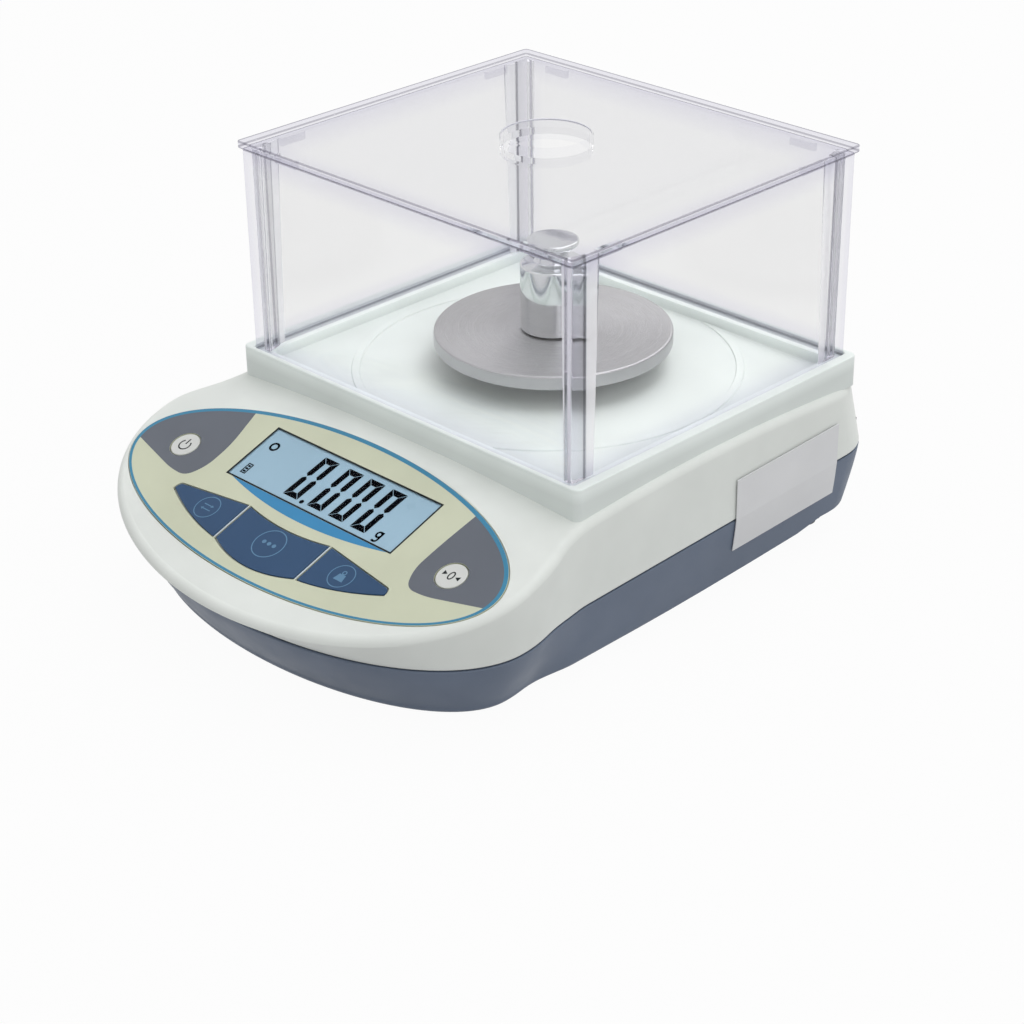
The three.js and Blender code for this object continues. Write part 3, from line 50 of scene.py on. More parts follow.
def box_mm(name):
    """The lowest and highest corners of a solid at rest, in millimetres."""
    return [np.array(corner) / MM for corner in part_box(name)]


def middle_xy(name):
    low, high = box_mm(name)
    return tuple(float(c) for c in (low + high)[:2] / 2)


# Plan of the body: the seam first, then how the shoulder and the base differ from it
BODY_HALF_WIDTH = 80.5
BODY_REAR = 115.97
NOSE_HALF_WIDTH = 85.2
NOSE_FRONT = 45
NOSE_REAR_REACH = 60
SEAM_PLAN = dict(half_width=BODY_HALF_WIDTH, rear=BODY_REAR, corner=20.5, nose_half=NOSE_HALF_WIDTH,
                 nose_front=NOSE_FRONT)
SHOULDER_STEPS = dict(half_width=-0.3, rear=-1.5, corner=6.5, nose_half=2.8, nose_front=6.5)
BASE_STEPS = dict(half_width=-2.7, rear=-3.5, corner=2.5, nose_half=-7.7, nose_front=-9.1)
SHOULDER_PLAN = {key: SEAM_PLAN[key] + step for key, step in SHOULDER_STEPS.items()}
BASE_PLAN = {key: SEAM_PLAN[key] + step for key, step in BASE_STEPS.items()}
NOSE_CENTRE_Y = SHOULDER_PLAN["nose_front"] - BODY_REAR
BODY_FRONT_SETBACK = 6.5
BODY_FRONT_Y = NOSE_CENTRE_Y + BODY_FRONT_SETBACK
WAIST_BLEND = 8
TURNING_WEIGHT = 60
PLAN_REACH = 300
PLAN_SAMPLES = 2401
HALF_PLAN_STEPS = 120
HALVINGS = 40

# Heights of the body
BASE_HEIGHT = 5
SEAM_FRONT_HEIGHT = 24.7
SEAM_REAR_HEIGHT = 32
SEAM_FRONT_Y = NOSE_CENTRE_Y - NOSE_FRONT
SEAM_GAP = 0.6
HOUSING_TOP = 58.1
CROWN_DROP = 3
SHOULDER_RADIUS = 3
BASE_EDGE_RADIUS = 2.5
BASE_FLARE_POWER = 1.2
WALL = 2.6
TOP_BLEND = 1
EDGE_SOFTNESS = 0.3

# Clearances of cuts, and how far a cutting or joining form reaches past the surface it meets
GAP = 0.3
OVERCUT = 1

# Tray and windshield, from the solids
tray_low, tray_high = box_mm("windshield_tray")
walls_low, walls_high = box_mm("windshield_walls")
lid_low, lid_high = box_mm("windshield_lid")
TRAY_CENTRE_Y = (tray_low[1] + tray_high[1]) / 2
TRAY_CENTRE = (0, TRAY_CENTRE_Y)
TRAY_WIDTH = tray_high[0] - tray_low[0]
TRAY_DEPTH = tray_high[1] - tray_low[1]
TRAY_CORNER = 2.5
TRAY_TOP = tray_high[2]
TRAY_POCKET_DEPTH = 1.6
TRAY_LEDGE = TRAY_TOP - TRAY_POCKET_DEPTH
TRAY_FLOOR_RISE = 2.7
TRAY_FLOOR = HOUSING_TOP + TRAY_FLOOR_RISE
TRAY_FLOOR_THICKNESS = 2
TRAY_EDGE = 0.5
TRAY_SKIRT_FOOT = HOUSING_TOP - CROWN_DROP
TRAY_SKIRT_GAP = 0.9
TRAY_SKIRT_THICKNESS = 2.5
TRAY_LEDGE_WIDTH = 4.2
RING_FROM_EDGE = 3.6
RING_RADIUS = TRAY_DEPTH / 2 - RING_FROM_EDGE
RING_WIDTH = 3
RING_HEIGHT = 0.4
RING_SLOPE = 0.3
RING_ROOT = 1
RING_SINK = 0.5
RING_MARGIN = 1
WALLS_WIDTH = walls_high[0] - walls_low[0]
WALLS_DEPTH = walls_high[1] - walls_low[1]
WALLS_CORNER = 1.5
WALLS_THICKNESS = 2.5
WALLS_GAP = 0.35
WALLS_EDGE = 0.25
WALLS_FOOT = walls_low[2]
WALLS_TOP = walls_high[2]
POST_LEG_X_TOP = 4
POST_LEG_Y_TOP = 11.3
POST_FOOT_SHARE = 0.8
POST_FIT = 0.04
POST_EDGE = 0.5
POST_FLUTES = 2
POST_FLUTE_STEPS = 6
POST_FLUTE_DEPTH = 0.4
LID_WIDTH = lid_high[0] - lid_low[0]
LID_DEPTH = lid_high[1] - lid_low[1]
LID_THICKNESS = 2.4
LID_EDGE = 0.35
LID_CORNER = 1.5
LID_HOLE_RADIUS = 13.8
LID_COLLAR_ABOVE = 3
LID_COLLAR_BELOW = 1.4
LID_COLLAR_THICKNESS = 1.3
LID_COLLAR_EDGE = 0.3
LID_TOP = lid_high[2] - LID_COLLAR_ABOVE
LID_FOOT = LID_TOP - LID_THICKNESS
LID_RIB_LENGTH = 10
LID_RIB_THICKNESS = 1.5
LID_RIB_DROP = 2.6
LID_RIB_OFFSET = 11
COLLAR_RADIUS = LID_HOLE_RADIUS + LID_COLLAR_THICKNESS
COLLAR_FIT = 0.04
# A thin grey arc on the collar's rear top edge: painted shade, a dark strip where there is only shade
COLLAR_LINE_WIDTH = 0.5
COLLAR_LINE_START = math.radians(45)
COLLAR_LINE_END = math.radians(225)
COLLAR_LINE_STEPS = 48

# Keypad plane
KEYPAD_SETBACK = 9
KEYPAD_Y = NOSE_CENTRE_Y - KEYPAD_SETBACK
KEYPAD_Z = 46.5
KEYPAD_TILT = math.radians(19.4)
OVERLAY_MARGIN = 2.3
OVERLAY_HALF_WIDTH = NOSE_HALF_WIDTH - OVERLAY_MARGIN
OVERLAY_HALF_DEPTH = 32.8
OVERLAY_TOP = 0.2
OVERLAY_THICKNESS = 1
OVERLAY_SEAT_GAP = 0.35

# Layers of the print: body, slot, height over the keypad plane and thickness
PRINT_THICKNESS = 0.03
LCD_TOP = -0.2
KEY_TOP = 0.25
SHEET_LAYER = ("housing", "overlay", OVERLAY_TOP, PRINT_THICKNESS)
BORDER_LAYER = ("housing", "overlay", OVERLAY_TOP, 0.02)
FIGURE_LAYER = ("housing", "display", LCD_TOP, 0.015)
TAIL_LAYER = ("housing", "display", LCD_TOP, 0.02)

# Keys: outlines in the keypad plane, as in the solids
ROW_INNER = 19.3
ROW_GAP = 1.4
ROW_OUTER = 49.8
ROW_BACK = -8.4
ROW_BACK_DIP = 2
ROW_TIP = -12
ROW_TIP_INSET = 2.2
ROW_CORNER = -14.6
ROW_FRONT = -23.8
ROW_FRONT_BULGE = 4
SIDE_FRONT_BULGE = 1.4
KEY_CLEARANCE = 0.45
KEY_THICKNESS = 0.6
KEY_EDGE = 0.22
ROUND_KEY_INSET = 19.9
ROUND_KEY_ACROSS = OVERLAY_HALF_WIDTH - ROUND_KEY_INSET
ROUND_KEY_ALONG = 1.5
ROUND_KEY_RADIUS = 5
ROW_STEM_ACROSS = 32
ROW_STEM_ALONG = -16
KEY_STEMS = {"power": (-ROUND_KEY_ACROSS, ROUND_KEY_ALONG), "tare": (ROUND_KEY_ACROSS, ROUND_KEY_ALONG),
             "left": (-ROW_STEM_ACROSS, ROW_STEM_ALONG), "middle": (0, ROW_STEM_ALONG),
             "right": (ROW_STEM_ACROSS, ROW_STEM_ALONG)}
STEM_RADIUS = 2
STEM_FOOT = -3.4
STEM_HOLE_RADIUS = 2.8

# Openings of the housing
REAR_RECESS_FROM_SIDE = 27
REAR_RECESS_HALF = BODY_HALF_WIDTH - REAR_RECESS_FROM_SIDE
REAR_RECESS_DEPTH = 6
REAR_RECESS_ABOVE_SEAM = 14
REAR_RECESS_Y = SEAM_PLAN["rear"] - REAR_RECESS_DEPTH
LOWER_RECESS_RISE = 3
WINDOW_HALF = 38.7
WINDOW_LOW = -0.9
WINDOW_HIGH = 22.7
PANEL_MARGIN = 1.3
KEYPAD_CUT_LOW = -7
HOLDER_HOLE_RADIUS = 8
INLET_FROM_SIDE = 14.2
INLET_FROM_REAR = 1.4
INLET_X = BODY_HALF_WIDTH - INLET_FROM_SIDE
INLET_Y = BODY_REAR - INLET_FROM_REAR
INLET_ANGLE = math.radians(16)
INLET_WIDTH = 9.5
INLET_HEIGHT = 8.6
INLET_DEPTH = 13
BAY_X = -36
BAY_AHEAD = 16
BAY_Y = TRAY_CENTRE_Y - BAY_AHEAD
BAY_HALF_WIDTH = 14
BAY_HALF_LENGTH = 26
BAY_DEPTH = 19.5
BAY_TOP = BASE_HEIGHT + BAY_DEPTH
BAY_WALL = 1.5
DOOR_LEDGE = 2.35
DOOR_THICKNESS = 1.6
LATCH_HALF_WIDTH = 5
LATCH_GAP = 0.7
LATCH_REACH = 1.5
LATCH_DEPTH = 6.6
TAB_HALF_WIDTH = 7
TAB_LENGTH = 2

# Feet and housing screws, at the solids' places
CORNERS = ("front_left", "front_right", "rear_left", "rear_right")
FEET = {corner: middle_xy("foot_pad_" + corner) for corner in CORNERS}
SCREWS = {corner: middle_xy("housing_screw_" + corner) for corner in CORNERS}
REAR_FOOT_X, REAR_FOOT_Y = FEET["rear_right"]
FOOT_RECESS_RADIUS = 15.5
FOOT_RECESS_TOP = 12.6
STUD_BORE_RADIUS = 3.5
STUD_BORE_TOP = 30
SCREW_BORE_RADIUS = 3.3
SCREW_BORE_TOP = 17
SCREW_BOSS_WALL = 1.3
FLUTES = 14
FLUTE_STEPS = 12
FLUTE_DEPTH = 0.7
KNOB_RADIUS = 13.5
KNOB_BOTTOM = 1.2
KNOB_TOP = 10.2
KNOB_EDGE = 1.2
KNOB_EDGE_MIDDLE = 0.35
KNOB_POCKET_RADIUS = 11.1
KNOB_POCKET_TOP = 3.5
STUD_RADIUS = 2.9
STUD_TOP = 24
PAD_PROFILE = [(0, 0), (6.5, 0), (9.2, 0.7), (10.8, 1.7), (10.8, 3.2), (0, 3.2)]
PAD_EDGE = 0.6

# The raised underside round the rear feet: place along the body, inner edge, share of the rise
RELIEF_RISE = 5.8
RELIEF_SINK = 0.4
RELIEF_STEP = 4
RELIEF_STEP_POINTS = 12
RELIEF_FROM_FOOT = 17
RELIEF_MIDDLE_INSET = 23.5
RELIEF_FRONT_INSET = 10.5
RELIEF_INNER = REAR_FOOT_X - RELIEF_FROM_FOOT
RELIEF_AHEAD = [(8, RELIEF_INNER, 1), (20, RELIEF_INNER, 0.68),
                (44, BODY_HALF_WIDTH - RELIEF_MIDDLE_INSET, 0.5),
                (130, BODY_HALF_WIDTH - RELIEF_FRONT_INSET, 0)]
RELIEF_SECTIONS = [(BODY_REAR + OVERCUT, RELIEF_INNER, 1)]
RELIEF_SECTIONS += [(REAR_FOOT_Y - ahead, inner, share) for ahead, inner, share in RELIEF_AHEAD]

# Pan and weight, from the solids
pan_low, pan_high = box_mm("weighing_pan")
weight_low, weight_high = box_mm("calibration_weight")
PAN_CENTRE_Y = (pan_low[1] + pan_high[1]) / 2
PAN_CENTRE = (0, PAN_CENTRE_Y)
PAN_RADIUS = pan_high[0]
PAN_TOP = pan_high[2]
PAN_EDGE_HEIGHT = 5
PAN_EDGE = 0.9
PAN_PLATE = 1.4
PAN_RIM = 1.8
PAN_HUB_RADIUS = 10
PAN_HUB_DROP = 5.9
PAN_BORE = 6.3
WEIGHT_FOOT = weight_low[2]
WEIGHT_TOP = weight_high[2]
WEIGHT_RADIUS = 10.9
WEIGHT_BODY = 23
WEIGHT_EDGE = 0.7
WEIGHT_NECK = 5.2
WEIGHT_NECK_FLARE = 0.6
WEIGHT_SHOULDER_RISE = 0.5
WEIGHT_NECK_RISE = 1.8
WEIGHT_KNOB_RADIUS = 8.7
WEIGHT_KNOB_HEIGHT = 4.5
WEIGHT_KNOB_RIM = 1.6

# Clear parts: painted shade along each edge, a dark line and a lilac tint beside it, standing in for the
# light that the edges bend away
EDGE_TINT_REACH = 9
EDGE_LINE_WIDTH = 0.45
EDGE_LINE_FADE = 1.3
UPRIGHT_EDGE_STEP = 0.6
EDGE_SHADE_LINE_COLOUR = (142, 140, 152)
EDGE_SHADE_TINT_COLOUR = (231, 230, 238)
PANE_COLOUR = (246, 246, 246)
LID_COLOUR = (240, 240, 241)

# Painted highlights and shade of the posts, in streaks from the end of one leg to the end of the other:
# colours, and clearness as a grey
POST_PAINTED_LIGHT_COLOURS = [(0, (250, 250, 252)), (0.06, (250, 250, 252)), (0.09, (196, 196, 202)),
                (0.14, (196, 196, 202)), (0.17, (252, 252, 254)), (0.24, (244, 244, 246)),
                (0.54, (226, 226, 230)), (0.56, (150, 150, 158)), (0.61, (150, 150, 158)),
                (0.64, (252, 252, 254)), (0.94, (252, 252, 254)), (0.97, (190, 190, 198))]
POST_CLEARNESS = [(0, 110), (0.06, 110), (0.09, 255), (0.15, 255), (0.17, 120), (0.22, 120), (0.26, 250),
                  (0.62, 250), (0.66, 190), (0.93, 190), (0.96, 255)]

# Painted shade: the tray's floor is darkened a little below its outside, where less light gets in through the
# windshield
TRAY_FLOOR_SHADE_SHARE = 0.82

# Noise of surfaces: how fine it is for colour, gloss and clear parts; depths of grain and grooves in metres
DRIFT_SCALE = 35
GLOSS_SCALE = 120
CLEAR_SCALE = 60
GRAIN_DEPTH = 0.00008
GROOVE_DEPTH = 0.0001
NOISE_LOW = 0.3
NOISE_HIGH = 0.7
TINT_LOW = 0.35
TINT_HIGH = 0.65
PRINT_SPECULAR = 0.15


# Materials
def srgb(red, green, blue):
    """A colour as written on a screen, from 0 to 255, in linear light."""
    shares = [c / 255 for c in (red, green, blue)]
    return tuple(((c + 0.055) / 1.055) ** 2.4 if c > 0.0393 else c / 12.92 for c in shares)


def new_material(name):
    material = bpy.data.materials.new(name)
    material.use_nodes = True
    tree = material.node_tree
    return material, tree, tree.nodes["Principled BSDF"]


def feed(tree, target, value):
    """Wires a socket to an input, or writes a plain value into it."""
    if isinstance(value, bpy.types.NodeSocket):
        tree.links.new(value, target)
    else:
        target.default_value = value


def fill(tree, made, **values):
    """Fills inputs by name, with _ for a space."""
    for key, value in values.items():
        feed(tree, made.inputs[key.replace("_", " ")], value)


def node(tree, kind, *inputs, **settings):
    """A new node with its settings and named inputs, and then its inputs in order."""
    made = tree.nodes.new(kind)
    for key, value in settings.items():
        if key in made.inputs:
            feed(tree, made.inputs[key], value)
        else:
            setattr(made, key, value)
    for target, value in zip(made.inputs, inputs):
        feed(tree, target, value)
    return made


def place_of(tree):
    return node(tree, "ShaderNodeTexCoord").outputs["Object"]


def noise(tree, scale, detail=3):
    return node(tree, "ShaderNodeTexNoise", Vector=place_of(tree), Scale=scale, Detail=detail).outputs["Fac"]


def map_range(tree, value, *limits):
    return node(tree, "ShaderNodeMapRange", value, *limits).outputs["Result"]


def colour_stops(tree, value, stops):
    """A colour that follows a value from 0 to 1 through stops of position and linear colour."""
    made = node(tree, "ShaderNodeValToRGB", value)
    elements = made.color_ramp.elements
    while len(elements) < len(stops):
        elements.new(1)
    for element, (position, colour) in zip(elements, stops):
        element.position = position
        element.color = (*colour, 1)
    return made.outputs["Color"]


def screen_stops(tree, value, stops):
    return colour_stops(tree, value, [(position, srgb(*colour)) for position, colour in stops])


def math_node(tree, operation, *inputs):
    return node(tree, "ShaderNodeMath", *inputs, operation=operation).outputs["Value"]


def vector_node(tree, operation, *inputs, **named):
    return node(tree, "ShaderNodeVectorMath", *inputs, operation=operation, **named).outputs["Vector"]


def axes(tree, vector):
    return node(tree, "ShaderNodeSeparateXYZ", vector).outputs


def bump(tree, value, strength, distance):
    return node(tree, "ShaderNodeBump", Strength=strength, Distance=distance, Height=value).outputs["Normal"]


def mix_surface(tree, share, first, second, output="Material Output"):
    """Sends two shaders, mixed by a share, to the output."""
    mixed = node(tree, "ShaderNodeMixShader", share, first.outputs[0], second.outputs[0])
    fill(tree, tree.nodes[output], Surface=mixed.outputs[0])


def edge_distance(tree, low, high, reach):
    """How far a point of a box's surface is from the nearest edge, as a share of a reach in millimetres.

    Upright edges count as a step farther away, so that they get the painted shade tint without the painted
    shade line.
    """
    centre = [float(a + b) / 2 * MM for a, b in zip(low, high)]
    half = [float(b - a) / 2 * MM for a, b in zip(low, high)]
    folded = vector_node(tree, "ABSOLUTE", vector_node(tree, "SUBTRACT", place_of(tree), centre))
    x, y, z = axes(tree, vector_node(tree, "SUBTRACT", half, folded))
    level = math_node(tree, "MAXIMUM", math_node(tree, "MINIMUM", x, y), z)
    upright = math_node(tree, "ADD", math_node(tree, "MAXIMUM", x, y), UPRIGHT_EDGE_STEP * MM)
    return math_node(tree, "DIVIDE", math_node(tree, "MINIMUM", level, upright), reach * MM)


def surface(name, colour, roughness, metallic=0, spread=0.03, grain=1400, grain_strength=0.12, specular=0.5):
    """A moulded, painted or machined surface: slight colour drift, fine grain and uneven gloss."""
    material, tree, shader = new_material(name)
    base = srgb(*colour)
    dark = tuple(c * (1 - spread) for c in base)
    light = tuple(min(c * (1 + spread), 1) for c in base)
    gloss = map_range(tree, noise(tree, GLOSS_SCALE), NOISE_LOW, NOISE_HIGH, roughness * 0.9, roughness * 1.1)
    fill(tree, shader,
         Base_Color=colour_stops(tree, noise(tree, DRIFT_SCALE), [(TINT_LOW, dark), (TINT_HIGH, light)]),
         Roughness=gloss,
         Normal=bump(tree, noise(tree, grain), grain_strength, GRAIN_DEPTH),
         Metallic=metallic,
         Specular_IOR_Level=specular)
    return material


def print_surface(name, colour, roughness=0.35, grain=2500, grain_strength=0.04, spread=0.03):
    return surface(name, colour, roughness, 0, spread, grain, grain_strength, PRINT_SPECULAR)


def shade_by_height(material, low, high, share):
    """Paints shade: darkens a surface's colour to a share of itself at and below a height in millimetres."""
    tree = material.node_tree
    base = tree.nodes["Principled BSDF"].inputs["Base Color"]
    rise = map_range(tree, axes(tree, place_of(tree))["Z"], low * MM, high * MM, share, 1)
    feed(tree, base, vector_node(tree, "SCALE", base.links[0].from_socket, Scale=rise))


def clear_plastic(name, colour, roughness, ior, coat=0, box=None):
    """Clear acrylic that lets lamps through. Given its box, its edges get painted shade in lilac grey,
    standing in for the light that they bend away.
    """
    material, tree, shader = new_material(name)
    plain = (*srgb(*colour), 1)
    gloss = map_range(tree, noise(tree, CLEAR_SCALE), NOISE_LOW, NOISE_HIGH, roughness * 0.6, roughness * 1.4)
    fill(tree, shader, Base_Color=plain, Roughness=gloss, Transmission_Weight=1, IOR=ior, Coat_Weight=coat)
    # Painted shade along the edges: a dark line, then a lilac tint fading into the plain colour
    if box:
        line = EDGE_LINE_WIDTH / EDGE_TINT_REACH
        stops = [(0, EDGE_SHADE_LINE_COLOUR), (line, EDGE_SHADE_LINE_COLOUR), (EDGE_LINE_FADE * line, EDGE_SHADE_TINT_COLOUR),
                 (1, colour)]
        fill(tree, shader, Base_Color=screen_stops(tree, edge_distance(tree, *box, EDGE_TINT_REACH), stops))
    path = node(tree, "ShaderNodeLightPath")
    mix_surface(tree, path.outputs["Is Shadow Ray"], shader, node(tree, "ShaderNodeBsdfTransparent", plain))
    return material


def add_painted_streaks(material):
    """Painted highlights and shade in upright streaks across a post: whitish where less light passes straight
    on, grey where it is lost.
    """
    tree = material.node_tree
    centred = vector_node(tree, "SUBTRACT", place_of(tree), (0, TRAY_CENTRE_Y * MM, 0))
    x, y, _ = axes(tree, vector_node(tree, "ABSOLUTE", centred))
    across = math_node(tree, "SUBTRACT", x, y)
    across = math_node(tree, "ADD", across, ((WALLS_DEPTH - WALLS_WIDTH) / 2 + POST_LEG_X_TOP) * MM)
    share = math_node(tree, "DIVIDE", across, (POST_LEG_X_TOP + POST_LEG_Y_TOP) * MM)
    greys = [(position, (grey, grey, grey)) for position, grey in POST_CLEARNESS]
    clear = node(tree, "ShaderNodeSeparateColor", screen_stops(tree, share, greys))
    fill(tree, tree.nodes["Principled BSDF"], Base_Color=screen_stops(tree, share, POST_PAINTED_LIGHT_COLOURS),
         Transmission_Weight=clear.outputs["Red"])


def turned_steel(name, colour, roughness, centre_y, groove, strength):
    """Steel with fine circular grooves round an upright axis."""
    material, tree, shader = new_material(name)
    x, y, _ = axes(tree, place_of(tree))
    flat = node(tree, "ShaderNodeCombineXYZ", x, math_node(tree, "SUBTRACT", y, centre_y * MM))
    radius = node(tree, "ShaderNodeVectorMath", flat.outputs["Vector"], operation="LENGTH")
    distance = radius.outputs["Value"]
    grooves = node(tree, "ShaderNodeTexNoise", noise_dimensions="1D", W=distance, Scale=groove, Detail=4)
    rings = grooves.outputs["Fac"]
    base = srgb(*colour)
    dark = tuple(c * 0.93 for c in base)
    fill(tree, shader,
         Base_Color=colour_stops(tree, rings, [(TINT_LOW, dark), (TINT_HIGH, base)]),
         Roughness=map_range(tree, rings, NOISE_LOW, NOISE_HIGH, roughness * 0.85, roughness * 1.15),
         Normal=bump(tree, rings, strength, GROOVE_DEPTH),
         Tangent=node(tree, "ShaderNodeTangent", direction_type="RADIAL", axis="Z").outputs["Tangent"],
         Anisotropic=0.75,
         Metallic=1)
    return material


WHITE = surface("warm_white_plastic", (231, 235, 231), 0.42, specular=0.3)
TRAY_WHITE = surface("tray_white_plastic", (242, 249, 246), 0.42, specular=0.3)
# Painted shade: the tray's floor darker than its outside
shade_by_height(TRAY_WHITE, TRAY_FLOOR, TRAY_LEDGE, TRAY_FLOOR_SHADE_SHARE)
BLUE_GREY = surface("blue_grey_plastic", (108, 119, 137), 0.45, 0, 0.05, grain_strength=0.25, specular=0.2)
lid_plate = (np.array([lid_low[0], lid_low[1], LID_FOOT]), np.array([lid_high[0], lid_high[1], LID_TOP]))
CLEAR_WALLS = clear_plastic("clear_wall_acrylic", PANE_COLOUR, 0.01, 1.05, 0.5, (walls_low, walls_high))
CLEAR_LID = clear_plastic("clear_lid_acrylic", LID_COLOUR, 0.01, 1.02, 0.5, lid_plate)
CLEAR_POST = clear_plastic("clear_post_acrylic", (248, 248, 250), 0.01, 1.13)
# Painted highlights and shade in upright streaks on the posts
add_painted_streaks(CLEAR_POST)
CLEAR_COLLAR = clear_plastic("clear_collar_acrylic", (251, 251, 252), 0.01, 1.005)
# Painted shade for the thin grey arc on the collar's rear top edge
COLLAR_LINE = surface("collar_line_shade", (186, 186, 194), 0.4, specular=0.1)
WINDOW = clear_plastic("clear_window", (250, 251, 252), 0.02, 1.06)
PAN_STEEL = turned_steel("turned_pan_steel", (181, 180, 183), 0.28, PAN_CENTRE_Y, 9000, 0.25)
WEIGHT_STEEL = surface("polished_weight_steel", (216, 218, 219), 0.07, 1, grain=500, grain_strength=0.02)
CREAM = print_surface("cream_film", (208, 212, 188), 0.38, grain_strength=0.05)
NAVY = print_surface("navy_key", (54, 82, 116), 0.33, grain=1800, grain_strength=0.06)
KEY_PALE = print_surface("pale_key", (216, 218, 215), grain=1800, grain_strength=0.05)
RING_BLUE = print_surface("ring_blue_print", (70, 138, 172))
SWOOSH_BLUE = print_surface("swoosh_blue_print", (66, 140, 188))
PRINT_GREY = print_surface("grey_print", (106, 111, 120), 0.38)
PRINT_LIGHT = print_surface("light_line_print", (100, 140, 172))
PRINT_PALE = print_surface("pale_strip_print", (205, 214, 222))
PRINT_DARK = print_surface("dark_line_print", (28, 34, 36), 0.4)
LCD_BLUE = print_surface("lcd_blue", (147, 174, 190), 0.3, spread=0.02, grain_strength=0.02)
LCD_BLACK = surface("lcd_black", (2, 3, 7), 0.35, spread=0.01, grain=2500, grain_strength=0, specular=0.01)
BLACK = surface("black_plastic", (24, 24, 26), 0.35, grain_strength=0.2)
RUBBER = surface("black_rubber", (28, 28, 29), 0.75, grain=900, grain_strength=0.3)
ALLOY = surface("machined_alloy", (200, 202, 204), 0.35, metallic=0.9, grain=700, grain_strength=0.1)
BRASS = surface("turned_brass", (190, 158, 84), 0.3, metallic=0.9, grain=700, grain_strength=0.1)
SCREW = surface("plated_screw_steel", (196, 196, 198), 0.25, metallic=1, grain=700, grain_strength=0.08)
BOARD = surface("green_circuit_board", (42, 104, 66), 0.5, spread=0.12, grain=1500, grain_strength=0.1)
CONNECTOR = surface("connector_plastic", (236, 234, 226), 0.45, grain=1500, grain_strength=0.06)
RED = surface("red_insulation", (168, 42, 34), 0.45, grain=1500, grain_strength=0.06)
LABEL = surface("blank_label_paper", (227, 228, 230), 0.55, grain=1800, grain_strength=0.08, specular=0.2)


# Meshes from points in millimetres
def mesh_piece(name, points, faces, material=None, smooth_angle=30):
    mesh = bpy.data.meshes.new(name)
    corners = [tuple(float(c) * MM for c in point) for point in points]
    mesh.from_pydata(corners, [], [tuple(int(i) for i in face) for face in faces])
    mesh.update()
    piece = bpy.data.objects.new(name, mesh)
    bpy.context.scene.collection.objects.link(piece)
    if material:
        mesh.materials.append(material)
    mesh.shade_smooth()
    mesh.set_sharp_from_angle(angle=math.radians(smooth_angle))
    return piece


def skin(name, rings, material=None, first_pole=None, last_pole=None, smooth_angle=30):
    """A closed surface through rings of equal count. A missing pole closes that end with one flat face."""
    count = len(rings[0])
    points = [tuple(p) for ring in rings for p in ring]
    faces = []
    for k in range(len(rings) - 1):
        for i in range(count):
            j = (i + 1) % count
            faces.append((k * count + i, (k + 1) * count + i, (k + 1) * count + j, k * count + j))
    tail = (len(rings) - 1) * count
    if first_pole is None:
        faces.append(tuple(range(count)))
    else:
        points.append(tuple(first_pole))
        faces += [(len(points) - 1, i, (i + 1) % count) for i in range(count)]
    if last_pole is None:
        faces.append(tuple(tail + i for i in reversed(range(count))))
    else:
        points.append(tuple(last_pole))
        faces += [(tail + i, len(points) - 1, tail + (i + 1) % count) for i in range(count)]
    return mesh_piece(name, points, faces, material, smooth_angle)


def prism(name, outline, low, high, material=None):
    """An outline, anticlockwise seen from above, between two heights."""
    return skin(name, [[(x, y, high) for x, y in outline], [(x, y, low) for x, y in outline]], material)


def lathe(name, profile, centre, material=None, steps=96):
    """A profile of (radius, height) turned about an upright axis; it starts and ends on the axis."""
    x, y = centre
    rings = [[(*point, height) for point in disc(radius, centre, steps)] for radius, height in profile[1:-1]]
    return skin(name, rings, material, (x, y, profile[0][1]), (x, y, profile[-1][1]))


def ellipse(half_width, half_depth, centre=(0, 0), steps=160):
    turns = [2 * math.pi * i / steps for i in range(steps)]
    return [(centre[0] + half_width * math.cos(t), centre[1] + half_depth * math.sin(t)) for t in turns]


def disc(radius, centre, steps):
    return ellipse(radius, radius, centre, steps)


def curve(start, control, end, steps):
    """Points along a curve that leaves its start towards a control point and reaches its end from there."""
    shares = [i / steps for i in range(steps + 1)]
    start, control, end = (np.array(point) for point in (start, control, end))
    return [tuple((1 - t) ** 2 * start + 2 * t * (1 - t) * control + t * t * end) for t in shares]


def fillet(points, radius, steps):
    """The points of an open (a, b) profile or outline with its inner corners rounded."""
    rounded = [points[0]]
    for before, here, after in zip(points, points[1:], points[2:]):
        start = np.subtract(before, here)
        end = np.subtract(after, here)
        reach = min(radius, np.linalg.norm(start) / 2.2, np.linalg.norm(end) / 2.2)
        start = here + start / np.linalg.norm(start) * reach
        end = here + end / np.linalg.norm(end) * reach
        rounded += curve(start, here, end, steps)
    rounded.append(points[-1])
    return rounded


def anticlockwise(points):
    area = sum(a[0] * b[1] - b[0] * a[1] for a, b in zip(points, points[1:] + points[:1]))
    return points if area > 0 else points[::-1]


def rounded_rectangle(width, depth, radius, steps=10):
    """A rounded rectangle round the tray's middle."""
    points = []
    for quarter in range(4):
        sx = 1 if quarter in (0, 3) else -1
        sy = 1 if quarter in (0, 1) else -1
        for i in range(steps + 1):
            turn = (quarter + i / steps) * math.pi / 2
            points.append((sx * (width / 2 - radius) + radius * math.cos(turn),
                           TRAY_CENTRE_Y + sy * (depth / 2 - radius) + radius * math.sin(turn)))
    return points


def plate_ring(width, depth, corner, z):
    return [(x, y, z) for x, y in rounded_rectangle(width, depth, corner)]


def inset_rings(width, depth, corner, levels):
    """Rings of a rounded plate, each drawn in by the inset of its level."""
    return [plate_ring(width - 2 * inset, depth - 2 * inset, corner - inset, z) for inset, z in levels]


def block(outline, low, high):
    return prism("tool", outline, low, high)


def box_tool(x0, x1, y0, y1, z0, z1):
    return block([(x0, y0), (x1, y0), (x1, y1), (x0, y1)], z0, z1)


def rod_tool(radius, centre, z0, z1, steps=48):
    return block(disc(radius, centre, steps), z0, z1)


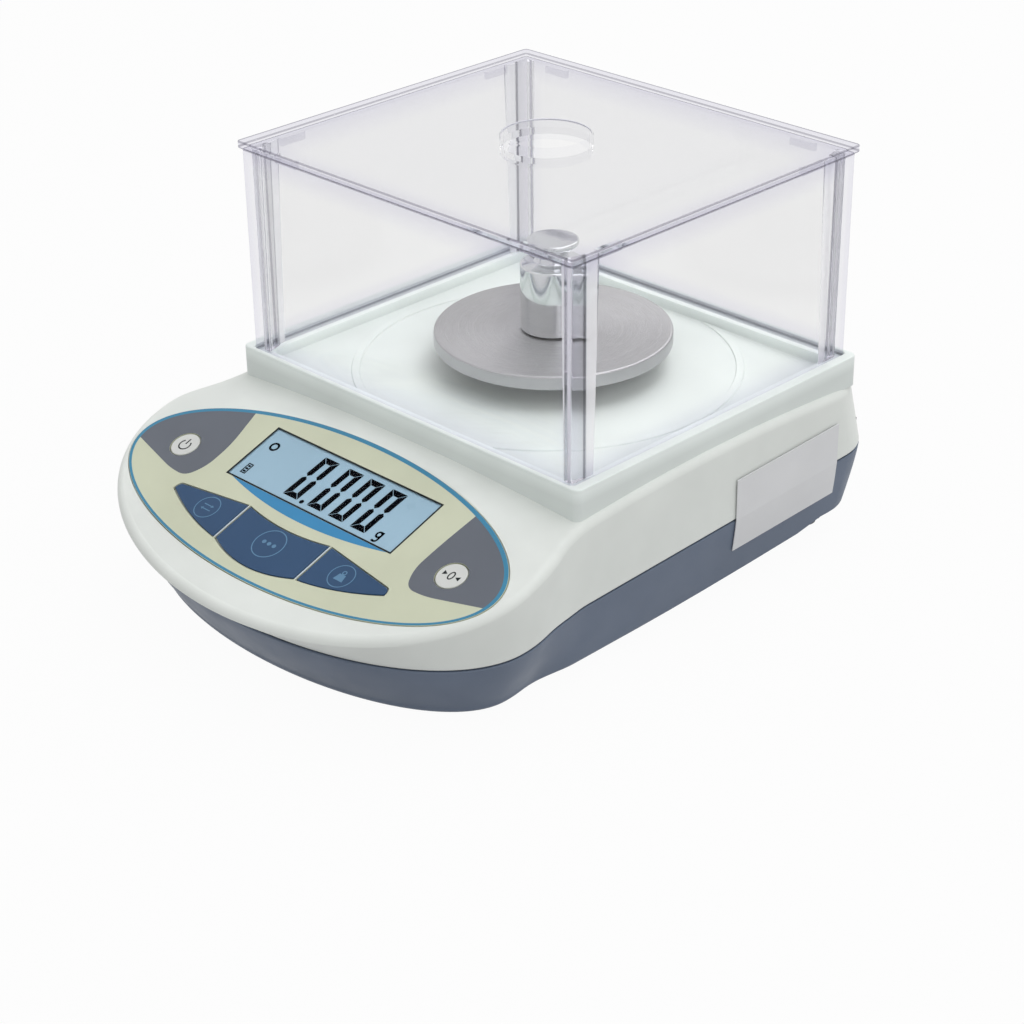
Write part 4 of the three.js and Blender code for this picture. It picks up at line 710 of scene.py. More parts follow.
def combine(piece, *tools, operation="DIFFERENCE", smooth_angle=30):
    """Cuts tools out of a piece one by one, or joins them to it, and drops them."""
    for tool in tools:
        modifier = piece.modifiers.new("combine", "BOOLEAN")
        modifier.operation = operation
        modifier.solver = "EXACT"
        modifier.object = tool
        bpy.context.view_layer.update()
        graph = bpy.context.evaluated_depsgraph_get()
        made = bpy.data.meshes.new_from_object(piece.evaluated_get(graph))
        piece.modifiers.clear()
        old = piece.data
        made.name = old.name
        piece.data = made
        bpy.data.meshes.remove(old)
        bpy.data.objects.remove(tool)
        piece.data.shade_smooth()
        piece.data.set_sharp_from_angle(angle=math.radians(smooth_angle))
    return piece


def soften(piece, width, segments=3, angle=40):
    """Rounds a piece's sharp edges by a bevel."""
    modifier = piece.modifiers.new("soften", "BEVEL")
    modifier.width = width * MM
    modifier.segments = segments
    modifier.limit_method = "ANGLE"
    modifier.angle_limit = math.radians(angle)
    modifier.harden_normals = False


def finish_piece(piece, body, slot, *replaced):
    weighted = piece.modifiers.new("weighted", "WEIGHTED_NORMAL")
    weighted.mode = "FACE_AREA"
    weighted.weight = 50
    weighted.keep_sharp = True
    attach(piece, body)
    if replaced:
        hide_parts(*replaced)


# Plan and height functions of the body
def smooth_min(a, b, width):
    near = np.maximum(width - np.abs(a - b), 0) / width
    return np.minimum(a, b) - near * near * width / 4


def plan_distance(plan, x, y):
    r = plan["corner"]
    dx = np.abs(x) - plan["half_width"] + r
    dy = np.abs(y - (BODY_FRONT_Y + plan["rear"]) / 2) - (plan["rear"] - BODY_FRONT_Y) / 2 + r
    body = np.hypot(np.maximum(dx, 0), np.maximum(dy, 0)) + np.minimum(np.maximum(dx, dy), 0) - r
    reach = np.where(y < NOSE_CENTRE_Y, plan["nose_front"], NOSE_REAR_REACH)
    nose = (np.hypot(x / plan["nose_half"], (y - NOSE_CENTRE_Y) / reach) - 1) * plan["nose_half"]
    return smooth_min(body, nose, WAIST_BLEND)


def halved(low, high, keeps):
    """Narrows each span by halving, up to the last value that a test keeps."""
    for _ in range(HALVINGS):
        middle = (low + high) / 2
        kept = keeps(middle)
        low = np.where(kept, middle, low)
        high = np.where(kept, high, middle)
    return low


def plan_points(plan, turns):
    across = np.cos(turns)
    along = np.sin(turns)
    reach = halved(np.zeros(len(turns)), np.full(len(turns), float(PLAN_REACH)),
                   lambda middle: plan_distance(plan, middle * across, middle * along) < 0)
    return np.stack([reach * across, reach * along], 1)


def plan_turns():
    """Directions from the origin, closer together where the outline turns."""
    samples = np.linspace(-math.pi / 2, math.pi / 2, PLAN_SAMPLES)
    points = plan_points(SEAM_PLAN, samples)
    steps = np.diff(points, axis=0)
    length = np.linalg.norm(steps, axis=1)
    heading = np.unwrap(np.arctan2(steps[:, 1], steps[:, 0]))
    turning = np.abs(np.diff(heading, prepend=heading[0]))
    reach = np.concatenate([[0], np.cumsum(length + TURNING_WEIGHT * turning)])
    half = np.interp(np.linspace(0, reach[-1], HALF_PLAN_STEPS + 1), reach, samples)
    return np.concatenate([half, (math.pi - half[1:-1])[::-1]])


TURNS = plan_turns()


def plan_ring(plan, inset=0.0):
    ring = plan_points(plan, TURNS)
    along = np.roll(ring, -1, 0) - np.roll(ring, 1, 0)
    along /= np.linalg.norm(along, axis=1)[:, None]
    return ring + inset * np.stack([-along[:, 1], along[:, 0]], 1)


def blend_plan(a, b, share):
    return {key: a[key] + (b[key] - a[key]) * share for key in a}


def seam_height(y):
    share = (y - SEAM_FRONT_Y) / (SEAM_PLAN["rear"] - SEAM_FRONT_Y)
    return SEAM_FRONT_HEIGHT + (SEAM_REAR_HEIGHT - SEAM_FRONT_HEIGHT) * share


SEAM_HEIGHTS = seam_height(plan_ring(SEAM_PLAN)[:, 1])


def crown_height(x, y):
    spread = (2 * x / TRAY_WIDTH) ** 2 + (2 * (y - TRAY_CENTRE_Y) / TRAY_DEPTH) ** 2
    return HOUSING_TOP - CROWN_DROP * np.maximum(0, spread - 1)


def keypad_height(y):
    return KEYPAD_Z + (y - KEYPAD_Y) * math.tan(KEYPAD_TILT)


def top_height(x, y):
    return smooth_min(crown_height(x, y), keypad_height(y), TOP_BLEND)


def lifted(ring, heights):
    return np.column_stack([ring, np.broadcast_to(heights, len(ring))])


# Shares of each ray, from the shoulder inwards, with the line where the keypad plane ends among them
CREASE_FALLBACK = 0.93
CREASE_HALF_SHARES = (0.05, 0.035, 0.02, 0.01, 0, -0.01, -0.02, -0.035, -0.05)
OUTER_SHARES = (0.25, 0.5, 0.75)
INNER_SHARES = (0.8, 0.6, 0.4, 0.2)


def crease_share(edge):
    def flat(share):
        points = edge * share[:, None]
        return crown_height(points[:, 0], points[:, 1]) < keypad_height(points[:, 1])
    ones = np.ones(len(edge))
    low = halved(np.zeros(len(edge)), ones, flat)
    return np.where(flat(ones), CREASE_FALLBACK, np.minimum(low, CREASE_FALLBACK))


def top_rings(edge, lowering):
    crease = crease_share(edge)
    outer = crease + CREASE_HALF_SHARES[0]
    inner = crease + CREASE_HALF_SHARES[-1]
    shares = [1 - (1 - outer) * part for part in OUTER_SHARES]
    shares += [crease + part for part in CREASE_HALF_SHARES]
    shares += [inner * part for part in INNER_SHARES]
    rings = [edge * share[:, None] for share in shares]
    return [lifted(ring, top_height(ring[:, 0], ring[:, 1]) - lowering) for ring in rings]


def upper_outer_rings(lift=0.0):
    edge = plan_ring(SHOULDER_PLAN, SHOULDER_RADIUS)
    edge_height = top_height(edge[:, 0], edge[:, 1])
    rings = [lifted(plan_ring(SEAM_PLAN, EDGE_SOFTNESS), SEAM_HEIGHTS + lift)]
    for share in np.linspace(0, 1, 10):
        ring = plan_ring(blend_plan(SEAM_PLAN, SHOULDER_PLAN, share))
        low = seam_height(ring[:, 1]) + EDGE_SOFTNESS
        rings.append(lifted(ring, low + (edge_height - SHOULDER_RADIUS - low) * share + lift))
    for turn in np.radians(np.linspace(11.25, 90, 8)):
        ring = plan_ring(SHOULDER_PLAN, SHOULDER_RADIUS * (1 - math.cos(turn)))
        rings.append(lifted(ring, edge_height - SHOULDER_RADIUS * (1 - math.sin(turn)) + lift))
    return rings + top_rings(edge, -lift)


def upper_form(lift):
    rings = upper_outer_rings(lift)
    foot = rings[0].copy()
    foot[:, 2] = 0
    return skin("tool", [foot] + rings, last_pole=(0, 0, top_height(0, 0) + lift))


# A frame in the keypad plane: across, along the slope, out of the surface
KEYPAD_FRAME = (Matrix.Translation((0, KEYPAD_Y * MM, KEYPAD_Z * MM)) @ Matrix.Rotation(KEYPAD_TILT, 4, "X"))


def to_keypad(piece):
    piece.data.transform(KEYPAD_FRAME)
    piece.data.update()
    return piece


# Outlines of the keys, and of their openings when grown by the clearance
def middle_key(grow=0.0):
    x = ROW_INNER - ROW_GAP / 2 + grow
    back = ROW_BACK + grow
    front = ROW_FRONT - grow
    edge = curve((-x, back), (0, back - ROW_BACK_DIP * 2), (x, back), 14)
    edge += curve((x, front), (0, front - ROW_FRONT_BULGE * 2), (-x, front), 14)
    return anticlockwise(edge)


def side_key(side, grow=0.0):
    inner = ROW_INNER + ROW_GAP / 2 - grow
    outer = ROW_OUTER + grow
    tip = ROW_TIP + grow
    corner = (side * outer, ROW_CORNER - grow)
    front_middle = (ROW_CORNER + ROW_FRONT) / 2 - grow
    edge = [(side * inner, ROW_BACK + grow)]
    edge += curve((side * (outer - ROW_TIP_INSET), tip), (side * outer, tip), corner, 8)
    edge += curve(corner, (side * (inner + outer) / 2, front_middle - 2 * SIDE_FRONT_BULGE),
                  (side * inner, ROW_FRONT - grow), 12)[1:]
    return anticlockwise(edge)


def round_key(side, grow=0.0):
    return disc(ROUND_KEY_RADIUS + grow, (side * ROUND_KEY_ACROSS, ROUND_KEY_ALONG), 64)


# Upper housing
def inlet_tool():
    tool = box_tool(-INLET_WIDTH / 2 - GAP, INLET_WIDTH / 2 + GAP, -INLET_DEPTH - GAP, INLET_DEPTH,
                    -INLET_HEIGHT / 2 - GAP, INLET_HEIGHT / 2 + GAP)
    place = Matrix.Translation((INLET_X * MM, INLET_Y * MM, seam_height(INLET_Y) * MM))
    tool.data.transform(place @ Matrix.Rotation(-INLET_ANGLE, 4, "Z"))
    return tool


def make_upper_housing():
    edge = plan_ring(SHOULDER_PLAN, SHOULDER_RADIUS + WALL)
    edge_height = top_height(edge[:, 0], edge[:, 1])
    inner = [
        lifted(plan_ring(SEAM_PLAN, WALL), SEAM_HEIGHTS),
        lifted(plan_ring(SHOULDER_PLAN, WALL), edge_height - WALL - SHOULDER_RADIUS),
        lifted(plan_ring(SHOULDER_PLAN, WALL + SHOULDER_RADIUS / 3),
               edge_height - WALL - SHOULDER_RADIUS / 3),
        lifted(edge, edge_height - WALL),
    ] + top_rings(edge, WALL)[2::3]
    top = float(top_height(0, 0))
    shell = skin("upper_shell", inner[::-1] + upper_outer_rings(), WHITE, (0, 0, top - WALL), (0, 0, top))
    recess_top = SEAM_REAR_HEIGHT + REAR_RECESS_ABOVE_SEAM
    backing = box_tool(-REAR_RECESS_HALF - WALL, REAR_RECESS_HALF + WALL, REAR_RECESS_Y - WALL,
                       SHOULDER_PLAN["rear"] - WALL / 2, seam_height(REAR_RECESS_Y - WALL), recess_top + WALL)
    combine(shell, backing, operation="UNION")
    seat = ellipse(OVERLAY_HALF_WIDTH + OVERLAY_SEAT_GAP, OVERLAY_HALF_DEPTH + OVERLAY_SEAT_GAP)
    tools = [
        box_tool(-REAR_RECESS_HALF, REAR_RECESS_HALF, REAR_RECESS_Y, BODY_REAR + OVERCUT, 0, recess_top),
        to_keypad(block(seat, OVERLAY_TOP - OVERLAY_THICKNESS - GAP, WALL)),
        to_keypad(box_tool(-WINDOW_HALF - PANEL_MARGIN - GAP, WINDOW_HALF + PANEL_MARGIN + GAP,
                           WINDOW_LOW - PANEL_MARGIN - GAP, WINDOW_HIGH + PANEL_MARGIN + GAP,
                           KEYPAD_CUT_LOW, WALL)),
        rod_tool(HOLDER_HOLE_RADIUS, PAN_CENTRE, HOUSING_TOP - 2 * WALL, HOUSING_TOP + OVERCUT),
        inlet_tool(),
    ]
    for stem in KEY_STEMS.values():
        tools.append(to_keypad(rod_tool(STEM_HOLE_RADIUS, stem, KEYPAD_CUT_LOW, WALL, 24)))
    combine(shell, *tools)
    finish_piece(shell, "housing", "upper_shell", "upper_housing")


# Windshield tray
def make_tray():
    inner_width = WALLS_WIDTH + 2 * WALLS_GAP
    inner_depth = WALLS_DEPTH + 2 * WALLS_GAP
    inner_corner = WALLS_CORNER + WALLS_GAP
    floor_width = WALLS_WIDTH - 2 * TRAY_LEDGE_WIDTH
    floor_depth = WALLS_DEPTH - 2 * TRAY_LEDGE_WIDTH
    soft = TRAY_EDGE
    levels = [(0, TRAY_SKIRT_FOOT)]
    for turn in np.radians(np.linspace(0, 90, 6)):
        levels.append((soft * (1 - math.cos(turn)), TRAY_TOP - soft * (1 - math.sin(turn))))
    rings = inset_rings(TRAY_WIDTH, TRAY_DEPTH, TRAY_CORNER, levels)
    rings += [
        plate_ring(inner_width + soft, inner_depth + soft, inner_corner, TRAY_TOP),
        plate_ring(inner_width, inner_depth, inner_corner, TRAY_TOP - soft / 2),
        plate_ring(inner_width, inner_depth, inner_corner, TRAY_LEDGE),
        plate_ring(floor_width + soft * 2, floor_depth + soft * 2, TRAY_CORNER + soft, TRAY_LEDGE),
        plate_ring(floor_width + soft / 2, floor_depth + soft / 2, TRAY_CORNER + soft / 2,
                   TRAY_LEDGE - soft / 4),
        plate_ring(floor_width, floor_depth, TRAY_CORNER, TRAY_LEDGE - soft),
        plate_ring(floor_width, floor_depth, TRAY_CORNER, TRAY_FLOOR + soft),
        plate_ring(floor_width - soft / 2, floor_depth - soft / 2, TRAY_CORNER, TRAY_FLOOR + soft / 4),
        plate_ring(floor_width - soft * 2, floor_depth - soft * 2, TRAY_CORNER, TRAY_FLOOR),
    ]
    tray = skin("tray_shell", rings, TRAY_WHITE)
    under = rounded_rectangle(TRAY_WIDTH - 2 * TRAY_SKIRT_THICKNESS, TRAY_DEPTH - 2 * TRAY_SKIRT_THICKNESS,
                              TRAY_CORNER / 2)
    combine(tray, block(under, 0, TRAY_FLOOR - TRAY_FLOOR_THICKNESS), upper_form(TRAY_SKIRT_GAP))
    outer = RING_RADIUS + RING_WIDTH / 2
    inner = RING_RADIUS - RING_WIDTH / 2
    top = TRAY_FLOOR + RING_HEIGHT
    profile = [(0, TRAY_FLOOR - RING_ROOT), (outer, TRAY_FLOOR - RING_ROOT), (outer, TRAY_FLOOR),
               (outer - RING_SLOPE, top), (inner + RING_SLOPE, top), (inner, TRAY_FLOOR),
               (inner, TRAY_FLOOR - RING_SINK), (0, TRAY_FLOOR - RING_SINK)]
    raised = lathe("tool", profile, TRAY_CENTRE, steps=160)
    clip = rounded_rectangle(floor_width - RING_MARGIN, floor_depth - RING_MARGIN, TRAY_CORNER)
    combine(raised, block(clip, TRAY_FLOOR - 2 * RING_ROOT - OVERCUT, TRAY_TOP), operation="INTERSECT")
    combine(tray, raised, operation="UNION")
    combine(tray, rod_tool(HOLDER_HOLE_RADIUS, PAN_CENTRE, 0, TRAY_TOP))
    finish_piece(tray, "housing", "tray_shell", "windshield_tray")


# Lower housing
def lower_level(share):
    return blend_plan(SEAM_PLAN, BASE_PLAN, share ** BASE_FLARE_POWER)


def lower_outer_rings():
    bottom = BASE_HEIGHT + BASE_EDGE_RADIUS
    rings = [lifted(plan_ring(SEAM_PLAN, EDGE_SOFTNESS), SEAM_HEIGHTS - SEAM_GAP)]
    for share in np.linspace(0, 1, 10):
        ring = plan_ring(lower_level(share))
        top = seam_height(ring[:, 1]) - SEAM_GAP - EDGE_SOFTNESS
        rings.append(lifted(ring, top + (bottom - top) * share))
    for turn in np.radians(np.linspace(15, 90, 6)):
        ring = plan_ring(BASE_PLAN, BASE_EDGE_RADIUS * (1 - math.cos(turn)))
        rings.append(lifted(ring, bottom - BASE_EDGE_RADIUS * math.sin(turn)))
    return rings


def relief_tool(side, lift=0.0):
    """The raised underside round a rear foot, with an S-shaped step along its inner edge."""
    outer = NOSE_HALF_WIDTH + OVERCUT
    profile = [(0, -OVERCUT)]
    for i in range(RELIEF_STEP_POINTS + 1):
        t = i / RELIEF_STEP_POINTS
        profile.append((RELIEF_STEP * t, t * t * (3 - 2 * t)))
    profile += [(outer, 1), (outer, -OVERCUT)]
    rings = []
    for y, inner, share in RELIEF_SECTIONS:
        ring = []
        for across, height in profile:
            rise = height * share * (RELIEF_RISE + RELIEF_SINK) if height > 0 else height
            ring.append((side * (inner + across), y, BASE_HEIGHT - RELIEF_SINK + rise + lift))
        rings.append(ring if side > 0 else ring[::-1])
    return skin("tool", rings)


def bay_box(half_width, front, rear, low, top):
    """A box round the bay's middle, from a distance in front of it to one behind it."""
    return box_tool(BAY_X - half_width, BAY_X + half_width, BAY_Y - front, BAY_Y + rear, low, top)


def make_lower_housing():
    rings = lower_outer_rings()
    floor = BASE_HEIGHT + WALL
    inner = [
        lifted(plan_ring(SEAM_PLAN, WALL), SEAM_HEIGHTS - SEAM_GAP),
        lifted(plan_ring(lower_level(0.5), WALL), (SEAM_HEIGHTS + floor) / 2),
        lifted(plan_ring(BASE_PLAN, WALL + BASE_EDGE_RADIUS), floor),
    ]
    shell = skin("lower_shell", inner[::-1] + rings, BLUE_GREY, (0, 0, floor), (0, 0, BASE_HEIGHT))
    for side in (-1, 1):
        pad = relief_tool(side, WALL)
        form = skin("tool", rings, None, (0, 0, seam_height(0) - SEAM_GAP), (0, 0, BASE_HEIGHT))
        combine(pad, form, operation="INTERSECT")
        combine(shell, pad, operation="UNION")
    under = floor - OVERCUT
    wall_length = BAY_HALF_LENGTH + BAY_WALL
    added = [box_tool(-REAR_RECESS_HALF - WALL, REAR_RECESS_HALF + WALL, REAR_RECESS_Y - WALL,
                      BASE_PLAN["rear"] - WALL, BASE_HEIGHT + BASE_EDGE_RADIUS,
                      seam_height(REAR_RECESS_Y - WALL) - SEAM_GAP),
             bay_box(BAY_HALF_WIDTH + BAY_WALL, wall_length, wall_length, under, BAY_TOP + BAY_WALL)]
    for foot in FEET.values():
        added.append(rod_tool(FOOT_RECESS_RADIUS + WALL, foot, under, FOOT_RECESS_TOP + WALL))
    for screw in SCREWS.values():
        boss_top = seam_height(screw[1]) - OVERCUT
        added.append(rod_tool(SCREW_BORE_RADIUS + SCREW_BOSS_WALL, screw, under, boss_top))
    combine(shell, *added, operation="UNION")
    ledge_top = BASE_HEIGHT + DOOR_THICKNESS + GAP
    ledge_length = BAY_HALF_LENGTH + DOOR_LEDGE
    cuts = [box_tool(-REAR_RECESS_HALF, REAR_RECESS_HALF, REAR_RECESS_Y, BODY_REAR + OVERCUT, -OVERCUT,
                     SEAM_REAR_HEIGHT + LOWER_RECESS_RISE),
            relief_tool(-1), relief_tool(1),
            bay_box(BAY_HALF_WIDTH, BAY_HALF_LENGTH, BAY_HALF_LENGTH, -OVERCUT, BAY_TOP),
            bay_box(BAY_HALF_WIDTH + DOOR_LEDGE, ledge_length, ledge_length, -OVERCUT, ledge_top),
            bay_box(LATCH_HALF_WIDTH + LATCH_GAP, OVERCUT - BAY_HALF_LENGTH, ledge_length + LATCH_REACH,
                    -OVERCUT, BASE_HEIGHT + LATCH_DEPTH),
            bay_box(TAB_HALF_WIDTH + GAP, ledge_length + TAB_LENGTH, -BAY_HALF_LENGTH, -OVERCUT, ledge_top),
            inlet_tool()]
    for foot in FEET.values():
        cuts.append(rod_tool(FOOT_RECESS_RADIUS, foot, -OVERCUT, FOOT_RECESS_TOP, 64))
        cuts.append(rod_tool(STUD_BORE_RADIUS, foot, -OVERCUT, STUD_BORE_TOP, 32))
    cuts += [rod_tool(SCREW_BORE_RADIUS, screw, -OVERCUT, SCREW_BORE_TOP, 32) for screw in SCREWS.values()]
    combine(shell, *cuts)
    finish_piece(shell, "housing", "lower_shell", "lower_housing")


# Windshield: walls of even thickness, their corner posts, the lid and its collar
def make_walls():
    levels = ((WALLS_EDGE, WALLS_TOP), (0, WALLS_TOP - WALLS_EDGE), (0, WALLS_FOOT + WALLS_EDGE),
              (WALLS_EDGE, WALLS_FOOT))
    rings = inset_rings(WALLS_WIDTH, WALLS_DEPTH, WALLS_CORNER, levels)
    walls = skin("clear_walls", rings, CLEAR_WALLS, smooth_angle=40)
    inner = rounded_rectangle(WALLS_WIDTH - 2 * WALLS_THICKNESS, WALLS_DEPTH - 2 * WALLS_THICKNESS,
                              WALLS_CORNER / 2)
    combine(walls, block(inner, WALLS_FOOT - OVERCUT, WALLS_TOP + OVERCUT), smooth_angle=40)
    finish_piece(walls, "walls", "clear", "windshield_walls")


def post_ring(side_x, side_y, share, z):
    """A corner post's outline: the walls' inner corner cut off by a slanted face."""
    leg_x = POST_LEG_X_TOP * share
    leg_y = POST_LEG_Y_TOP * share
    x = WALLS_WIDTH / 2 - WALLS_THICKNESS - POST_FIT
    y = WALLS_DEPTH / 2 - WALLS_THICKNESS - POST_FIT
    corner = [(x - leg_x, y - POST_FIT), (x - leg_x, y), (x, y), (x, y - leg_y), (x - POST_FIT, y - leg_y)]
    loop = fillet(corner, POST_EDGE, 4)
    slant = np.array(corner[0]) - corner[4]
    out = np.array([slant[1], -slant[0]]) / np.linalg.norm(slant)
    steps = POST_FLUTE_STEPS * POST_FLUTES
    for i in range(1, steps):
        t = i / steps
        depth = POST_FLUTE_DEPTH * (1 - math.cos(2 * math.pi * POST_FLUTES * t)) / 2
        loop.append(tuple(corner[4] + slant * t + out * depth))
    outline = [(side_x * px, TRAY_CENTRE_Y + side_y * py) for px, py in loop]
    return [(px, py, z) for px, py in anticlockwise(outline)]


def make_post(side_x, side_y, corner):
    rings = [post_ring(side_x, side_y, 1, WALLS_TOP), post_ring(side_x, side_y, POST_FOOT_SHARE, WALLS_FOOT)]
    post = skin("clear_post_" + corner, rings, CLEAR_POST, smooth_angle=40)
    finish_piece(post, "walls", "clear")


def make_lid():
    soft = LID_EDGE
    levels = ((soft, LID_TOP), (soft / 4, LID_TOP - soft / 4), (0, LID_TOP - soft), (0, LID_FOOT + soft),
              (soft / 4, LID_FOOT + soft / 4), (soft, LID_FOOT))
    rings = inset_rings(LID_WIDTH, LID_DEPTH, LID_CORNER, levels)
    lid = skin("clear_lid", rings, CLEAR_LID, smooth_angle=40)
    x = WALLS_WIDTH / 2 - WALLS_THICKNESS - WALLS_GAP
    y = WALLS_DEPTH / 2 - WALLS_THICKNESS - WALLS_GAP
    near = LID_RIB_OFFSET
    far = LID_RIB_OFFSET + LID_RIB_LENGTH
    ribs = []
    for sx in (-1, 1):
        for sy in (-1, 1):
            for xs, ys in (((x - near, x - far), (y, y - LID_RIB_THICKNESS)),
                           ((x, x - LID_RIB_THICKNESS), (y - near, y - far))):
                x0, x1 = sorted(sx * value for value in xs)
                y0, y1 = sorted(sy * value + TRAY_CENTRE_Y for value in ys)
                ribs.append(box_tool(x0, x1, y0, y1, LID_FOOT - LID_RIB_DROP, LID_FOOT + OVERCUT))
    combine(lid, *ribs, operation="UNION", smooth_angle=40)
    hole = rod_tool(COLLAR_RADIUS + COLLAR_FIT, TRAY_CENTRE, LID_FOOT - OVERCUT, LID_TOP + OVERCUT, 128)
    combine(lid, hole, smooth_angle=40)
    finish_piece(lid, "lid", "clear", "windshield_lid")


def make_collar():
    foot = LID_FOOT - LID_COLLAR_BELOW
    top = LID_TOP + LID_COLLAR_ABOVE
    profile = [(0, top), (COLLAR_RADIUS, top), (COLLAR_RADIUS, foot), (0, foot)]
    collar = lathe("clear_collar", fillet(profile, LID_COLLAR_EDGE, 4), TRAY_CENTRE, CLEAR_COLLAR, 128)
    hole = rod_tool(LID_HOLE_RADIUS, TRAY_CENTRE, foot - OVERCUT, top + OVERCUT, 128)
    combine(collar, hole, smooth_angle=40)
    finish_piece(collar, "lid", "clear")
    # A thin grey arc on the collar's rear top edge: painted shade
    outer = []
    inner = []
    for i in range(COLLAR_LINE_STEPS + 1):
        turn = COLLAR_LINE_START + (COLLAR_LINE_END - COLLAR_LINE_START) * i / COLLAR_LINE_STEPS
        half = COLLAR_LINE_WIDTH / 2 * math.sin(math.pi * i / COLLAR_LINE_STEPS)
        for side, reach in ((outer, half), (inner, -half)):
            radius = COLLAR_RADIUS - COLLAR_LINE_WIDTH + reach
            side.append((radius * math.cos(turn), TRAY_CENTRE_Y + radius * math.sin(turn)))
    outline = outer + inner[-2:0:-1]
    line = prism("collar_line", outline, top - COLLAR_LINE_WIDTH, top - COLLAR_FIT, COLLAR_LINE)
    finish_piece(line, "lid", "clear")


# Pan and weight
def make_pan():
    under = PAN_TOP - PAN_PLATE
    hub = PAN_TOP - PAN_HUB_DROP
    rim_foot = PAN_TOP - PAN_EDGE_HEIGHT
    edge = [(0, PAN_TOP), (PAN_RADIUS, PAN_TOP), (PAN_RADIUS, rim_foot), (PAN_RADIUS - PAN_RIM, rim_foot),
            (PAN_RADIUS - PAN_RIM, under), (PAN_HUB_RADIUS, under), (PAN_HUB_RADIUS, hub), (PAN_BORE, hub),
            (PAN_BORE, under), (0, under)]
    pan = lathe("steel_pan", fillet(edge, PAN_EDGE, 8)[::-1], PAN_CENTRE, PAN_STEEL, 192)
    finish_piece(pan, "pan", "pan_steel", "weighing_pan")


def make_weight():
    shoulder = WEIGHT_FOOT + WEIGHT_BODY
    profile = [(0, WEIGHT_FOOT), (WEIGHT_RADIUS, WEIGHT_FOOT), (WEIGHT_RADIUS, shoulder),
               (WEIGHT_NECK + WEIGHT_NECK_FLARE, shoulder + WEIGHT_SHOULDER_RISE),
               (WEIGHT_NECK, shoulder + WEIGHT_NECK_RISE), (WEIGHT_NECK, WEIGHT_TOP - WEIGHT_KNOB_HEIGHT),
               (WEIGHT_KNOB_RADIUS, WEIGHT_TOP - WEIGHT_KNOB_RIM), (WEIGHT_KNOB_RADIUS, WEIGHT_TOP),
               (0, WEIGHT_TOP)]
    weight = lathe("steel_weight", fillet(profile, WEIGHT_EDGE, 6), PAN_CENTRE, WEIGHT_STEEL, 160)
    finish_piece(weight, "weight", "weight_steel", "calibration_weight")


make_upper_housing()
make_tray()
make_lower_housing()
make_walls()
make_post(1, -1, "front_right")
make_post(-1, -1, "front_left")
make_post(1, 1, "rear_right")
make_post(-1, 1, "rear_left")
make_lid()
make_collar()
make_pan()
make_weight()


# Keypad overlay with its print, each print a thin film on a layer
def film(name, outline, material, layer):
    body, slot, top, thickness = layer
    finish_piece(to_keypad(prism(name, anticlockwise(outline), top, top + thickness, material)), body, slot)


def band(name, outer, inner, material, layer):
    """A closed film between two outlines of equal count."""
    body, slot, top, thickness = layer
    count = len(outer)
    high = top + thickness
    points = []
    for outline, z in ((outer, top), (outer, high), (inner, high), (inner, top)):
        points += [(x, y, z) for x, y in outline]
    faces = []
    for k in range(4):
        n = (k + 1) % 4
        for i in range(count):
            j = (i + 1) % count
            faces.append((k * count + i, k * count + j, n * count + j, n * count + i))
    finish_piece(to_keypad(mesh_piece(name, points, faces, material)), body, slot)


def rectangle(x0, x1, y0, y1, grow=0.0):
    x0, x1, y0, y1 = x0 - grow, x1 + grow, y0 - grow, y1 + grow
    return [(x1, y0), (x1, y1), (x0, y1), (x0, y0)]


def moved(points, centre):
    return [(centre[0] + x, centre[1] + y) for x, y in points]


def stroke_outline(points, width):
    """The outline of a line of even width through points."""
    points = np.array(points, float)
    along = np.gradient(points, axis=0)
    along /= np.linalg.norm(along, axis=1)[:, None]
    side = np.stack([-along[:, 1], along[:, 0]], 1) * width / 2
    return [tuple(p) for p in points + side] + [tuple(p) for p in (points - side)[::-1]]


def make_overlay():
    low = OVERLAY_TOP - OVERLAY_THICKNESS
    sheet = prism("overlay_sheet", ellipse(OVERLAY_HALF_WIDTH, OVERLAY_HALF_DEPTH), low, OVERLAY_TOP, CREAM)
    openings = [middle_key(KEY_CLEARANCE)]
    openings += [key(side, KEY_CLEARANCE) for key in (side_key, round_key) for side in (-1, 1)]
    tools = [block(outline, low - OVERCUT, OVERLAY_TOP + OVERCUT) for outline in openings]
    tools.append(box_tool(-WINDOW_HALF - GAP, WINDOW_HALF + GAP, WINDOW_LOW - GAP, WINDOW_HIGH + GAP,
                          low - OVERCUT, OVERLAY_TOP + OVERCUT))
    combine(sheet, *tools)
    finish_piece(to_keypad(sheet), "housing", "overlay", "keypad_overlay")


make_overlay()

# Blue line round the sheet
RING_OUTER_INSET = 0.1
RING_SIDE_INSET = 1.4
RING_END_INSET = 1.3
RING_HALF_WIDTH = OVERLAY_HALF_WIDTH - RING_SIDE_INSET
RING_HALF_DEPTH = OVERLAY_HALF_DEPTH - RING_END_INSET
RING_SHIFT = -0.3
band("overlay_ring_line",
     ellipse(OVERLAY_HALF_WIDTH - RING_OUTER_INSET, OVERLAY_HALF_DEPTH - RING_OUTER_INSET),
     ellipse(RING_HALF_WIDTH, RING_HALF_DEPTH, (0, RING_SHIFT)), RING_BLUE, SHEET_LAYER)

# Grey zones round the two round keys: part of the ring's inner ellipse closed by a rounded corner
ZONE_FRONT = (-80.6, -3.6)
ZONE_CORNERS = ((-60.5, -8.9), (-52.4, -9.2), (-49, -2), (-49.2, 9))
ZONE_BACK = (-52.1, 24.2)
ZONE_SHIFT = 1.4
ZONE_ROUNDING = 5
ZONE_STEPS = 40


